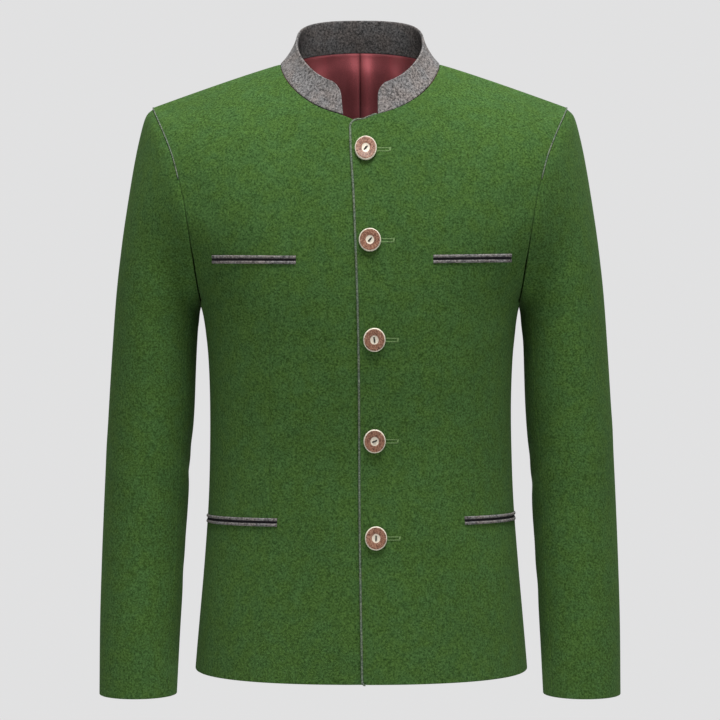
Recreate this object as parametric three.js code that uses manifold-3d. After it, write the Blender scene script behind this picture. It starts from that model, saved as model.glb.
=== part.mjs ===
// Trachten coat: a hollow, filled-out jacket of green loden with a grey felt stand collar,
// five round buttons, four double-lip pockets and thin felt piping.
// Millimetres, +Z up. The front faces -Y and the wearer's left is +X.
// The origin is the middle of the line between the neck ends of the two shoulder seams.
import * as THREE from 'three';
import { mergeVertices } from 'three/addons/utils/BufferGeometryUtils.js';
import Module from 'manifold-3d';

const wasm = await Module();
wasm.setup();

// Cloth and gaps
const LODEN = 2.0;
const COLLAR_FELT = 3.0;
const LINING_SATIN = 1.0;
const SEAM_GAP = 0.3;

// Body: the level of a ring is its height at the side. A ring drops towards the centre front
// and rises towards the centre back, so the ring at level 0 is the neckline. Right at the centre
// front the neckline dips a little more.
const SHOULDER_TIP = -49;
const SHOULDER_CURVE = 0.93;
const UNDERARM = -270;
const HEM = -680.5;
const FRONT_HEM = -684;
const NECK_HALF = 90;
const SHOULDER_HALF = 234;
const NECK_Z = -72;
const BODY = [
  { level: 0, front: 88, back: 66, round: 2.0, drop: 67, rise: 21, dip: 5 },
  { level: -25, front: 94.5, back: 84, round: 2.12, drop: 57.5, rise: 17, dip: 2.2 },
  { level: -50, front: 101, back: 99, round: 2.25, drop: 48, rise: 13, dip: 0 },
  { level: -100, front: 112, back: 115, round: 2.4, drop: 31, rise: 7, dip: 0 },
  { level: -150, front: 120.5, back: 123, round: 2.5, drop: 19, rise: 3, dip: 0 },
  { level: -200, front: 126, back: 125, round: 2.55, drop: 10, rise: 1, dip: 0 },
  { level: -270, front: 128, back: 121, round: 2.55, drop: 2.5, rise: 0, dip: 0 },
  { level: -335, front: 123.5, back: 111, round: 2.5, drop: 0, rise: 0, dip: 0 },
  { level: -400, front: 117, back: 103, round: 2.4, drop: 0, rise: 0, dip: 0 },
  { level: -450, front: 114, back: 101, round: 2.35, drop: 0, rise: 0, dip: 0 },
  { level: -520, front: 115, back: 106, round: 2.35, drop: 0, rise: 0, dip: 0 },
  { level: -600, front: 119.5, back: 116, round: 2.4, drop: 0.8, rise: 0, dip: 0 },
  { level: -680.5, front: 125, back: 124, round: 2.4, drop: 3.5, rise: 0, dip: 0 },
];
const SHOULDER_LEVELS = [0, -3, -8, -16, -26, -38];
const SKIRT_ROWS = 11;
const FRONT_COLUMNS = 13;
const BACK_COLUMNS = 11;
const SOFTEN = [
  { reach: -36, weight: 1 },
  { reach: -24, weight: 2 },
  { reach: -12, weight: 3 },
  { reach: 0, weight: 4 },
  { reach: 12, weight: 3 },
  { reach: 24, weight: 2 },
  { reach: 36, weight: 1 },
];
const SOFTEN_OVER = 0.3;
const FRONT_DROP_POWER = 1.25;
const BACK_RISE_POWER = 1.5;
const DIP_HALF = 12;

// Side of the body below the arm: half width, and how far the fastened front pulls it over
const SIDE = [
  { level: -270, half: 177.5, shift: 0 },
  { level: -300, half: 174.3, shift: 0.5 },
  { level: -330, half: 171.2, shift: 0.6 },
  { level: -384, half: 169.5, shift: 0.6 },
  { level: -438, half: 170, shift: 0.9 },
  { level: -492, half: 171.8, shift: 1.2 },
  { level: -560, half: 176.6, shift: 1.5 },
  { level: -628, half: 182.5, shift: 1.5 },
  { level: -680.5, half: 187.1, shift: 1.5 },
];

// Armhole: how far it reaches forward and back, how full its upper and lower half are, and its
// half width at each height. A turn of 0 is the shoulder tip, 90 degrees the front, 180 the underarm.
const ARMHOLE_DEPTH = 0.76;
const ARMHOLE_TOP_ROUND = 3;
const ARMHOLE_FOOT_ROUND = 2;
const ARMHOLE_STEP = 18;
const ARMHOLE_SEAM = [
  { z: -49, x: 234 },
  { z: -70, x: 223.3 },
  { z: -90, x: 214 },
  { z: -110, x: 206 },
  { z: -135, x: 199 },
  { z: -168, x: 191.4 },
  { z: -215, x: 184 },
  { z: -270, x: 177.5 },
];

// Sleeve sections from under the armhole seam to the cuff: inner and outer point seen from the
// front, middle and half depth seen from the side.
const SLEEVE = [
  { run: 0, inX: 177.5, inZ: -270, outX: 234, outZ: -49, mid: 0.5, deep: 71 },
  { run: 1, inX: 179.3, inZ: -272, outX: 242.6, outZ: -59, mid: 0.8, deep: 71 },
  { run: 2, inX: 180.1, inZ: -274.5, outX: 249.9, outZ: -86, mid: 1.2, deep: 70.5 },
  { run: 3, inX: 180.7, inZ: -277, outX: 256.3, outZ: -119, mid: 1.7, deep: 70 },
  { run: 4, inX: 181.2, inZ: -280, outX: 262.8, outZ: -160, mid: 2.3, deep: 69 },
  { run: 5, inX: 181.7, inZ: -284, outX: 269.4, outZ: -208, mid: 3, deep: 68 },
  { run: 6, inX: 182.4, inZ: -292, outX: 275, outZ: -258, mid: 4, deep: 66.5 },
  { run: 7, inX: 184.8, inZ: -322, outX: 279.6, outZ: -318, mid: 5.5, deep: 65 },
  { run: 8, inX: 187.4, inZ: -384, outX: 283.9, outZ: -384, mid: 7.5, deep: 63 },
  { run: 9, inX: 191, inZ: -438, outX: 286.9, outZ: -438, mid: 8, deep: 61 },
  { run: 10, inX: 194.5, inZ: -492, outX: 289.2, outZ: -492, mid: 5.5, deep: 58.5 },
  { run: 11, inX: 197.8, inZ: -560, outX: 291.2, outZ: -560, mid: -1.5, deep: 55 },
  { run: 12, inX: 201.8, inZ: -628, outX: 292.2, outZ: -628, mid: -11, deep: 51 },
  { run: 13, inX: 205.2, inZ: -707.5, outX: 291.6, outZ: -707.5, mid: -23, deep: 46.5 },
];
const CAP_RUNS = 5;
const CAP_TURN_FROM = -0.2;
const CAP_TURN_OVER = 0.8;
const SLEEVE_GAP = 0.8;
const SLEEVE_SLOPE = { x: 0.97, y: 0, z: -0.24 };
const SLEEVE_SEAM_HOLD = 0.2;
const FRONT_SLEEVE_SEAM = 144;
const BACK_SLEEVE_SEAM = 270;

// Collar: a standing strip between the neckline and a smaller top ring. The table gives the
// height of the top ring from its front to its back.
const COLLAR_TOP = { half: 72.5, front: 80, back: 58, frontRound: 2, backRound: 2.7 };
const COLLAR_TOP_EDGE = [
  { y: -80, z: -34 },
  { y: -60, z: -18 },
  { y: -39, z: -1.5 },
  { y: 0, z: 25 },
  { y: 30, z: 43.5 },
  { y: 58, z: 57 },
];
const COLLAR_LEAN_POWER = 1.5;
const COLLAR_ENDS = { leftX: 19.5, leftLean: 0.07, rightX: 18.5, rightLean: 0.11 };
const COLLAR_CORNER = 13;
const COLLAR_END_STEPS = [0, 1.2, 4, 8, 13];
const COLLAR_COLUMNS = 25;
const COLLAR_ROWS = 3;
const COLLAR_SEAT = 0.7;

// Front edge of the lapping left front, its piping and the hidden underlap of the right front
const FRONT_EDGE = [
  { z: -60, x: -12.5 },
  { z: -104, x: -11.5 },
  { z: -160, x: -8.1 },
  { z: -312, x: -3.2 },
  { z: -527, x: -1.6 },
  { z: -684, x: 1 },
];
const NECK_CORNER = 8;
const HEM_CORNER = 4;
const HEM_CORNER_TURN = 72;
const PIPING = 2.4;
const PIPING_SIDES = 6;
const PIPING_START_X = 18.5;
const PIPING_STEPS = { corner: 5, edge: 26, hem: 2 };
const UNDERLAP_X = 34;
const LAP_LIFT = 1.4;
const LAP_SINK = 1.2;
const LAP_FLAT = 48;
const LAP_RUN = 40;
const SINK_FROM = 14;
const SINK_TO = 4;

// Lining that shows in the neck: the upper back only
const LINING_LEVEL = -249;
const LINING_TOP = -1.5;
const LINING_INSET = 4;
const LINING_GAP = 1.5;

// Piping in the upper armhole seams
const ARM_PIPING = 1.0;
const ARM_PIPING_LIFT = 1.6;
const ARM_PIPING_FROM = -54;
const ARM_PIPING_TO = 68;
const ARM_PIPING_STEPS = { back: 6, front: 8 };

// Pockets: two felt lips on either side of a slot
const LIP_HEIGHT = 3.2;
const LIP_THICK = 1.3;
const LIP_CROWN = 0.4;
const SLOT_HALF = 1.3;
const LIP_COLUMNS = 12;
const LIP_SHARES = [0, 0.5, 1];
const LOWER_POCKET_STOP = 7;
const POCKETS = [
  { name: 'chest_pocket_right', side: -1, nearX: 69, nearZ: -226.2, farX: 161, farZ: -224.4 },
  { name: 'chest_pocket_left', side: 1, nearX: 79, nearZ: -225.2, farX: 165, farZ: -222.8 },
  { name: 'lower_pocket_right', side: -1, nearX: 90, nearZ: -510.5, farX: null, farZ: -511.3 },
  { name: 'lower_pocket_left', side: 1, nearX: 114, nearZ: -509, farX: null, farZ: -508.4 },
];

// Buttons on the lapping front, each turned its own way and a little taller than wide
const BUTTON_HALF = 12;
const BUTTONS = [
  { name: 'button_1', x: 6.2, z: -105.5, turn: 45, tall: 1.2 },
  { name: 'button_2', x: 10.6, z: -205, turn: 45, tall: 1.06 },
  { name: 'button_3', x: 15.4, z: -312, turn: 100, tall: 1.08 },
  { name: 'button_4', x: 15.7, z: -421.5, turn: 20, tall: 1.08 },
  { name: 'button_5', x: 17.2, z: -526.7, turn: 90, tall: 1.08 },
];
const BUTTON_PROFILE = [
  { r: 0, h: 0 },
  { r: 8.6, h: 0 },
  { r: 11.4, h: 1.1 },
  { r: 12, h: 2.3 },
  { r: 11.3, h: 3.6 },
  { r: 9.4, h: 4.2 },
  { r: 5.2, h: 3.6 },
  { r: 4.3, h: 3.1 },
  { r: 0, h: 3.1 },
];
const BUTTON_SEGMENTS = 20;
const BUTTON_SEAT = 0.4;
const HOLE_RADIUS = 0.95;
const HOLE_SPACING = 4.2;
const DRILL_SIDES = 8;

const COLORS = { loden: 0x3d5f2d, felt: 0x7d7a78, satin: 0x8e4a50, horn: 0xb79a78 };
const material = {
  loden: new THREE.MeshStandardMaterial({ color: COLORS.loden, roughness: 0.95, metalness: 0 }),
  felt: new THREE.MeshStandardMaterial({ color: COLORS.felt, roughness: 0.95, metalness: 0 }),
  satin: new THREE.MeshStandardMaterial({ color: COLORS.satin, roughness: 0.45, metalness: 0 }),
  horn: new THREE.MeshStandardMaterial({ color: COLORS.horn, roughness: 0.5, metalness: 0 }),
};

const RIGHT_ANGLE = Math.PI / 2;
const rad = THREE.MathUtils.degToRad;
const lerp = THREE.MathUtils.lerp;

// Steps for slopes taken by difference, and rounds that settle a level or a turn
const LEVEL_STEP = 1;
const TURN_STEP = 0.02;
const RUN_STEP = 0.1;
const RISE_STEP = 0.05;
const TURN_ROUNDS = 10;
const LEVEL_ROUNDS = 30;
const SPOT_ROUNDS = 12;
const EDGE_ROUNDS = 4;
const ROW_SAMPLES = 80;

function ease(t) {
  return THREE.MathUtils.smoothstep(t, 0, 1);
}

// Smooth value of one column of a table, whose rows are listed in falling or rising order
function readTable(rows, by, column, at) {
  const sign = rows[1][by] > rows[0][by] ? 1 : -1;
  const last = rows.length - 1;
  if (sign * at <= sign * rows[0][by]) return rows[0][column];
  if (sign * at >= sign * rows[last][by]) return rows[last][column];
  let i = 0;
  while (sign * at > sign * rows[i + 1][by]) i += 1;
  const slope = (k) => {
    const before = rows[Math.max(0, k - 1)];
    const after = rows[Math.min(last, k + 1)];
    return (after[column] - before[column]) / (after[by] - before[by]);
  };
  const width = rows[i + 1][by] - rows[i][by];
  const t = (at - rows[i][by]) / width;
  const t2 = t * t;
  const t3 = t2 * t;
  return (2 * t3 - 3 * t2 + 1) * rows[i][column] + (t3 - 2 * t2 + t) * width * slope(i)
    + (3 * t2 - 2 * t3) * rows[i + 1][column] + (t3 - t2) * width * slope(i + 1);
}

// Share of the ring's depth that the armhole takes at a level
function armholeShare(level) {
  const middle = (SHOULDER_TIP + UNDERARM) / 2;
  const reach = (SHOULDER_TIP - UNDERARM) / 2;
  const rise = (level - middle) / reach;
  const round = rise > 0 ? ARMHOLE_TOP_ROUND : ARMHOLE_FOOT_ROUND;
  const inside = Math.max(0, 1 - Math.pow(Math.abs(rise), round));
  return ARMHOLE_DEPTH * Math.pow(inside, 1 / round);
}

function ring(level) {
  const shape = {};
  for (const column of ['front', 'back', 'round', 'drop', 'rise', 'dip']) {
    shape[column] = readTable(BODY, 'level', column, level);
  }
  shape.shift = readTable(SIDE, 'level', 'shift', level);
  shape.half = halfWidth(level, shape.drop, shape.round);
  shape.edge = armholeShare(level);
  shape.soft = 0;
  let weights = 0;
  for (const { reach, weight } of SOFTEN) {
    shape.soft += weight * halfWidth(level + reach, shape.drop, shape.round);
    weights += weight;
  }
  shape.soft /= weights;
  return shape;
}

function halfWidth(level, drop, round) {
  if (level >= SHOULDER_TIP) {
    const along = Math.pow(Math.abs(level / SHOULDER_TIP), SHOULDER_CURVE);
    return NECK_HALF - (SHOULDER_HALF - NECK_HALF) * along * Math.sign(level);
  }
  if (level <= UNDERARM) return readTable(SIDE, 'level', 'half', level);
  const share = armholeShare(level);
  const fall = drop * Math.pow(share, FRONT_DROP_POWER);
  const seamX = readTable(ARMHOLE_SEAM, 'z', 'x', level - fall);
  return seamX / Math.pow(1 - Math.pow(share, round), 1 / round);
}

// Half width that applies at a share of the depth: away from the side seam and the armhole it is
// evened out in height
function halfAt(shape, share) {
  return lerp(shape.half, shape.soft, ease((share - shape.edge) / SOFTEN_OVER));
}

function shareAt(shape, turn) {
  return Math.pow(Math.abs(Math.cos(turn)), 2 / shape.round);
}

function bodyX(shape, turn) {
  const across = Math.sin(turn);
  const reach = halfAt(shape, shareAt(shape, turn)) * Math.pow(Math.abs(across), 2 / shape.round);
  return shape.shift + reach * Math.sign(across);
}

// How far the front of a ring lies below its level
function frontFall(shape, turn) {
  const middle = bodyX(shape, turn) / DIP_HALF;
  const fall = shape.drop * Math.pow(shareAt(shape, turn), FRONT_DROP_POWER);
  return fall + shape.dip * Math.exp(-middle * middle);
}

// A point of the body: turn 0 is the centre front, 90 degrees the left side, 180 the centre back
function bodyPoint(level, turn) {
  const shape = ring(level);
  const share = shareAt(shape, turn);
  const x = bodyX(shape, turn);
  if (Math.cos(turn) > 0) {
    return new THREE.Vector3(x, -shape.front * share, level - frontFall(shape, turn));
  }
  return new THREE.Vector3(x, shape.back * share, level + shape.rise * Math.pow(share, BACK_RISE_POWER));
}

function bodyNormal(level, turn) {
  const low = Math.max(level - LEVEL_STEP, HEM);
  const high = Math.min(level + LEVEL_STEP, 0);
  const up = bodyPoint(high, turn).sub(bodyPoint(low, turn));
  const round = bodyPoint(level, turn + TURN_STEP).sub(bodyPoint(level, turn - TURN_STEP));
  return round.cross(up).normalize();
}

function bodyAt(level, turn, out) {
  return bodyPoint(level, turn).addScaledVector(bodyNormal(level, turn), out);
}

// Turn of the front point at a given x
function turnAtX(level, x) {
  const shape = ring(level);
  let turn = 0;
  for (let i = 0; i < TURN_ROUNDS; i += 1) {
    const half = halfAt(shape, shareAt(shape, turn));
    const part = Math.min(1, Math.abs(x - shape.shift) / half);
    turn = Math.asin(Math.pow(part, shape.round / 2));
  }
  return Math.sign(x - shape.shift) * turn;
}

// Level of the front point at a given turn and height
function levelAtTurn(turn, z) {
  let level = z;
  for (let i = 0; i < LEVEL_ROUNDS; i += 1) level = Math.min(0, z + frontFall(ring(level), turn));
  return level;
}

// Level and turn of the front point at a given x and height
function frontSpot(x, z) {
  let level = z;
  let turn = 0;
  for (let i = 0; i < SPOT_ROUNDS; i += 1) {
    turn = turnAtX(level, x);
    level = levelAtTurn(turn, z);
  }
  return { level, turn };
}

// Turn where a row of the body ends: at the side seam, armhole or shoulder seam
function endTurn(level, back) {
  const shape = ring(level);
  const open = level < SHOULDER_TIP && level > UNDERARM ? armholeShare(level) : 0;
  const turn = Math.acos(Math.pow(open, shape.round / 2));
  return back ? Math.PI - turn : turn;
}

// Turns that divide a row of the body evenly, held back from both ends
function evenTurns(level, from, to, columns, holdFrom, holdTo) {
  const turns = [];
  const lengths = [0];
  for (let i = 0; i <= ROW_SAMPLES; i += 1) turns.push(lerp(from, to, i / ROW_SAMPLES));
  for (let i = 1; i <= ROW_SAMPLES; i += 1) {
    const step = bodyPoint(level, turns[i]).distanceTo(bodyPoint(level, turns[i - 1]));
    lengths.push(lengths[i - 1] + step);
  }
  const result = [];
  let k = 1;
  for (let c = 0; c < columns; c += 1) {
    const goal = lerp(holdFrom, lengths[ROW_SAMPLES] - holdTo, c / (columns - 1));
    while (k < ROW_SAMPLES && lengths[k] < goal) k += 1;
    const part = (goal - lengths[k - 1]) / (lengths[k] - lengths[k - 1]);
    result.push(lerp(turns[k - 1], turns[k], part));
  }
  return result;
}

// Closed wall between an outer and an inner grid of points
function wall(outer, inner) {
  const rows = outer.length;
  const columns = outer[0].length;
  const positions = [];
  for (const grid of [outer, inner]) {
    for (const row of grid) {
      for (const p of row) positions.push(p.x, p.y, p.z);
    }
  }
  const index = [];
  const at = (side, r, c) => side * rows * columns + r * columns + c;
  const quad = (a, b, c, d) => index.push(a, b, c, a, c, d);
  for (let r = 0; r < rows - 1; r += 1) {
    for (let c = 0; c < columns - 1; c += 1) {
      quad(at(0, r, c), at(0, r, c + 1), at(0, r + 1, c + 1), at(0, r + 1, c));
      quad(at(1, r, c), at(1, r + 1, c), at(1, r + 1, c + 1), at(1, r, c + 1));
    }
  }
  for (let c = 0; c < columns - 1; c += 1) {
    quad(at(0, 0, c), at(1, 0, c), at(1, 0, c + 1), at(0, 0, c + 1));
    quad(at(0, rows - 1, c), at(0, rows - 1, c + 1), at(1, rows - 1, c + 1), at(1, rows - 1, c));
  }
  for (let r = 0; r < rows - 1; r += 1) {
    quad(at(0, r, 0), at(0, r + 1, 0), at(1, r + 1, 0), at(1, r, 0));
    const c = columns - 1;
    quad(at(0, r, c), at(1, r, c), at(1, r + 1, c), at(0, r + 1, c));
  }
  return facedOut(positions, index);
}

function facedOut(positions, index) {
  let volume = 0;
  const a = new THREE.Vector3();
  const b = new THREE.Vector3();
  const c = new THREE.Vector3();
  for (let i = 0; i < index.length; i += 3) {
    a.fromArray(positions, 3 * index[i]);
    b.fromArray(positions, 3 * index[i + 1]);
    c.fromArray(positions, 3 * index[i + 2]);
    volume += a.dot(b.cross(c));
  }
  if (volume < 0) index.reverse();
  const geometry = new THREE.BufferGeometry();
  geometry.setAttribute('position', new THREE.Float32BufferAttribute(positions, 3));
  geometry.setIndex(index);
  geometry.computeVertexNormals();
  return geometry;
}

// Closed tube of few sides along a path of points, with a direction that is its top at each point
function tube(path, tops, halfWide, halfHigh, sides) {
  const positions = [];
  const index = [];
  path.forEach((p, i) => {
    const next = path[Math.min(path.length - 1, i + 1)];
    const ahead = next.clone().sub(path[Math.max(0, i - 1)]).normalize();
    const wide = new THREE.Vector3().crossVectors(ahead, tops[i]).normalize();
    const high = new THREE.Vector3().crossVectors(wide, ahead);
    for (let s = 0; s < sides; s += 1) {
      const angle = (s + 0.5) * 2 * Math.PI / sides;
      const q = p.clone().addScaledVector(wide, halfWide * Math.cos(angle));
      q.addScaledVector(high, halfHigh * Math.sin(angle));
      positions.push(q.x, q.y, q.z);
    }
  });
  for (let i = 0; i < path.length - 1; i += 1) {
    for (let s = 0; s < sides; s += 1) {
      const t = (s + 1) % sides;
      const a = i * sides;
      const b = a + sides;
      index.push(a + s, b + s, b + t, a + s, b + t, a + t);
    }
  }
  const end = (path.length - 1) * sides;
  for (let s = 1; s < sides - 1; s += 1) {
    index.push(0, s, s + 1);
    index.push(end, end + s + 1, end + s);
  }
  return facedOut(positions, index);
}

function mesh(name, geometry, finish) {
  const piece = new THREE.Mesh(geometry, material[finish]);
  piece.name = name;
  return piece;
}

// Levels of the body's rows: shoulder, then the armhole in even turns, then down to the hem
function armholeLevels() {
  const levels = [];
  for (let turn = 0; turn <= 180; turn += ARMHOLE_STEP) {
    levels.push(lerp(UNDERARM, SHOULDER_TIP, (1 + Math.cos(rad(turn))) / 2));
  }
  return levels;
}

function skirtLevels() {
  const levels = [];
  for (let i = 1; i <= SKIRT_ROWS; i += 1) levels.push(lerp(UNDERARM, HEM, i / SKIRT_ROWS));
  return levels;
}

// The lapping front is lifted near its edge and the other sinks under it
function lapOut(side, x, edge) {
  if (side > 0) return LAP_LIFT * ease(1 - (x - edge - LAP_FLAT) / LAP_RUN);
  return -LAP_SINK * ease((x - edge + SINK_FROM) / (SINK_FROM - SINK_TO));
}

function frontEdgeX(z) {
  return readTable(FRONT_EDGE, 'z', 'x', z);
}

function cornerInset(distance, radius) {
  const inside = THREE.MathUtils.clamp(radius - distance, 0, radius);
  return radius - Math.sqrt(radius * radius - inside * inside);
}

// Where the cloth of the lapping front starts at a level, beside its piping
function lapStartX(level) {
  let x = 0;
  for (let i = 0; i < EDGE_ROUNDS; i += 1) {
    const { z } = bodyPoint(level, turnAtX(level, x));
    const corners = cornerInset(NECK_Z - z, NECK_CORNER) + cornerInset(z - FRONT_HEM, HEM_CORNER);
    x = frontEdgeX(z) + PIPING + SEAM_GAP + corners;
  }
  return x;
}

function frontTurns(level, side) {
  const start = side * turnAtX(level, side > 0 ? lapStartX(level) : UNDERLAP_X);
  return evenTurns(level, start, endTurn(level, false), FRONT_COLUMNS, 0, SEAM_GAP / 2);
}

function frontPanel(side) {
  const outer = [];
  const inner = [];
  for (const level of [...SHOULDER_LEVELS, ...armholeLevels(), ...skirtLevels()]) {
    const middle = bodyPoint(level, 0).z;
    const outerRow = [];
    const innerRow = [];
    for (const turn of frontTurns(level, side)) {
      const out = lapOut(side, bodyPoint(level, side * turn).x, frontEdgeX(middle));
      outerRow.push(bodyAt(level, side * turn, out));
      innerRow.push(bodyAt(level, side * turn, out - LODEN));
    }
    outer.push(outerRow);
    inner.push(innerRow);
  }
  return wall(outer, inner);
}

function backPanel(side) {
  const outer = [];
  const inner = [];
  for (const level of [...SHOULDER_LEVELS, ...armholeLevels(), ...skirtLevels()]) {
    const end = endTurn(level, true);
    const turns = evenTurns(level, Math.PI, end, BACK_COLUMNS, SEAM_GAP / 2, SEAM_GAP / 2);
    outer.push(turns.map((turn) => bodyAt(level, side * turn, 0)));
    inner.push(turns.map((turn) => bodyAt(level, side * turn, -LODEN)));
  }
  return wall(outer, inner);
}

// Satin behind the neck opening, just inside the back
function lining(side) {
  const outer = [];
  const inner = [];
  const between = (level) => level < LINING_TOP && level > LINING_LEVEL;
  const levels = [...SHOULDER_LEVELS, ...armholeLevels()].filter(between);
  for (const level of [LINING_TOP, ...levels]) {
    const end = endTurn(level, true);
    const turns = evenTurns(level, Math.PI, end, BACK_COLUMNS, SEAM_GAP / 2, LINING_INSET);
    outer.push(turns.map((turn) => bodyAt(level, side * turn, -LODEN - LINING_GAP)));
    inner.push(turns.map((turn) => bodyAt(level, side * turn, -LODEN - LINING_GAP - LINING_SATIN)));
  }
  return wall(outer, inner);
}

// A point of the armhole seam, on the left side
function armholePoint(turn) {
  const level = lerp(UNDERARM, SHOULDER_TIP, (1 + Math.cos(turn)) / 2);
  const bodyTurn = endTurn(level, Math.sin(turn) < 0);
  return { point: bodyPoint(level, bodyTurn), normal: bodyNormal(level, bodyTurn) };
}

// A point of the left sleeve: turn 0 is the outer side, 90 degrees the front, 180 the inner side
function sleevePoint(run, turn) {
  const section = {};
  for (const column of ['inX', 'inZ', 'outX', 'outZ', 'mid', 'deep']) {
    section[column] = readTable(SLEEVE, 'run', column, run);
  }
  const across = (1 + Math.cos(turn)) / 2;
  const point = new THREE.Vector3(
    lerp(section.inX, section.outX, across),
    section.mid - section.deep * Math.sin(turn),
    lerp(section.inZ, section.outZ, across),
  );
  const hold = 1 - ease(run / CAP_RUNS);
  if (hold > 0) {
    const first = SLEEVE[0];
    const oval = new THREE.Vector3(
      lerp(first.inX, first.outX, across),
      first.mid - first.deep * Math.sin(turn),
      lerp(first.inZ, first.outZ, across),
    );
    point.addScaledVector(armholePoint(turn).point.sub(oval), hold);
  }
  return point;
}

function sleeveNormal(run, turn) {
  const low = Math.max(0, run - RUN_STEP);
  const high = Math.min(SLEEVE.length - 1, run + RUN_STEP);
  const down = sleevePoint(high, turn).sub(sleevePoint(low, turn));
  const round = sleevePoint(run, turn + TURN_STEP).sub(sleevePoint(run, turn - TURN_STEP));
  return round.cross(down).normalize();
}

// Direction across the wall of the sleeve. On top of the shoulder it starts with the body's.
function sleeveWallNormal(run, turn) {
  const own = sleeveNormal(run, turn);
  if (run > 0) return own;
  const share = ease((Math.cos(turn) - CAP_TURN_FROM) / CAP_TURN_OVER);
  return own.lerp(armholePoint(turn).normal, share).normalize();
}

function sleevePiece(side, from, to) {
  const outer = [];
  const inner = [];
  for (let run = 0; run < SLEEVE.length; run += 1) {
    const outerRow = [];
    const innerRow = [];
    const hold = SLEEVE_SEAM_HOLD / SLEEVE[run].deep;
    for (let turn = from; turn <= to; turn += ARMHOLE_STEP) {
      let angle = rad(turn);
      if (turn === from) angle += hold;
      if (turn === to) angle -= hold;
      const point = sleevePoint(run, angle);
      if (run === 0) point.addScaledVector(SLEEVE_SLOPE, SLEEVE_GAP);
      const under = point.clone().addScaledVector(sleeveWallNormal(run, angle), -LODEN);
      point.x *= side;
      under.x *= side;
      outerRow.push(point);
      innerRow.push(under);
    }
    outer.push(outerRow);
    inner.push(innerRow);
  }
  return wall(outer, inner);
}

// A point of the collar: turn as on the body, rise 0 at the seam and 1 at the top edge
function collarPoint(turn, rise) {
  const seam = bodyPoint(0, turn);
  const ahead = Math.cos(turn) > 0;
  const power = 2 / (ahead ? COLLAR_TOP.frontRound : COLLAR_TOP.backRound);
  const share = Math.pow(Math.abs(Math.cos(turn)), power);
  const x = COLLAR_TOP.half * Math.sign(Math.sin(turn)) * Math.pow(Math.abs(Math.sin(turn)), power);
  const y = (ahead ? -COLLAR_TOP.front : COLLAR_TOP.back) * share;
  const z = readTable(COLLAR_TOP_EDGE, 'y', 'z', y);
  const lean = 1 - Math.pow(1 - rise, COLLAR_LEAN_POWER);
  return new THREE.Vector3(lerp(seam.x, x, lean), lerp(seam.y, y, lean), lerp(seam.z, z, rise));
}

function collarNormal(turn, rise) {
  const low = Math.max(0, rise - RISE_STEP);
  const high = Math.min(1, rise + RISE_STEP);
  const up = collarPoint(turn, high).sub(collarPoint(turn, low));
  const round = collarPoint(turn + TURN_STEP, rise).sub(collarPoint(turn - TURN_STEP, rise));
  return round.cross(up).normalize();
}

function collar() {
  const start = Math.asin(COLLAR_ENDS.leftX / NECK_HALF);
  const end = 2 * Math.PI - Math.asin(COLLAR_ENDS.rightX / NECK_HALF);
  const steps = COLLAR_END_STEPS.map((length) => ({ turn: start + length / NECK_HALF, length }));
  for (let c = 1; c < COLLAR_COLUMNS; c += 1) {
    const first = start + COLLAR_CORNER / NECK_HALF;
    const last = end - COLLAR_CORNER / NECK_HALF;
    steps.push({ turn: lerp(first, last, c / COLLAR_COLUMNS), length: COLLAR_CORNER });
  }
  for (const length of [...COLLAR_END_STEPS].reverse()) {
    steps.push({ turn: end - length / NECK_HALF, length });
  }
  const outer = [];
  const inner = [];
  for (let r = 0; r <= COLLAR_ROWS; r += 1) {
    const outerRow = [];
    const innerRow = [];
    for (const { turn, length } of steps) {
      const height = collarPoint(turn, 1).distanceTo(collarPoint(turn, 0));
      const rise = (1 - cornerInset(length, COLLAR_CORNER) / height) * r / COLLAR_ROWS;
      const part = (turn - start) / (end - start);
      const leaned = turn + rise * lerp(COLLAR_ENDS.leftLean, -COLLAR_ENDS.rightLean, part);
      const point = collarPoint(leaned, rise);
      point.z += COLLAR_SEAT;
      outerRow.push(point);
      innerRow.push(point.clone().addScaledVector(collarNormal(leaned, rise), -COLLAR_FELT));
    }
    outer.push(outerRow);
    inner.push(innerRow);
  }
  return wall(outer, inner);
}

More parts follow.
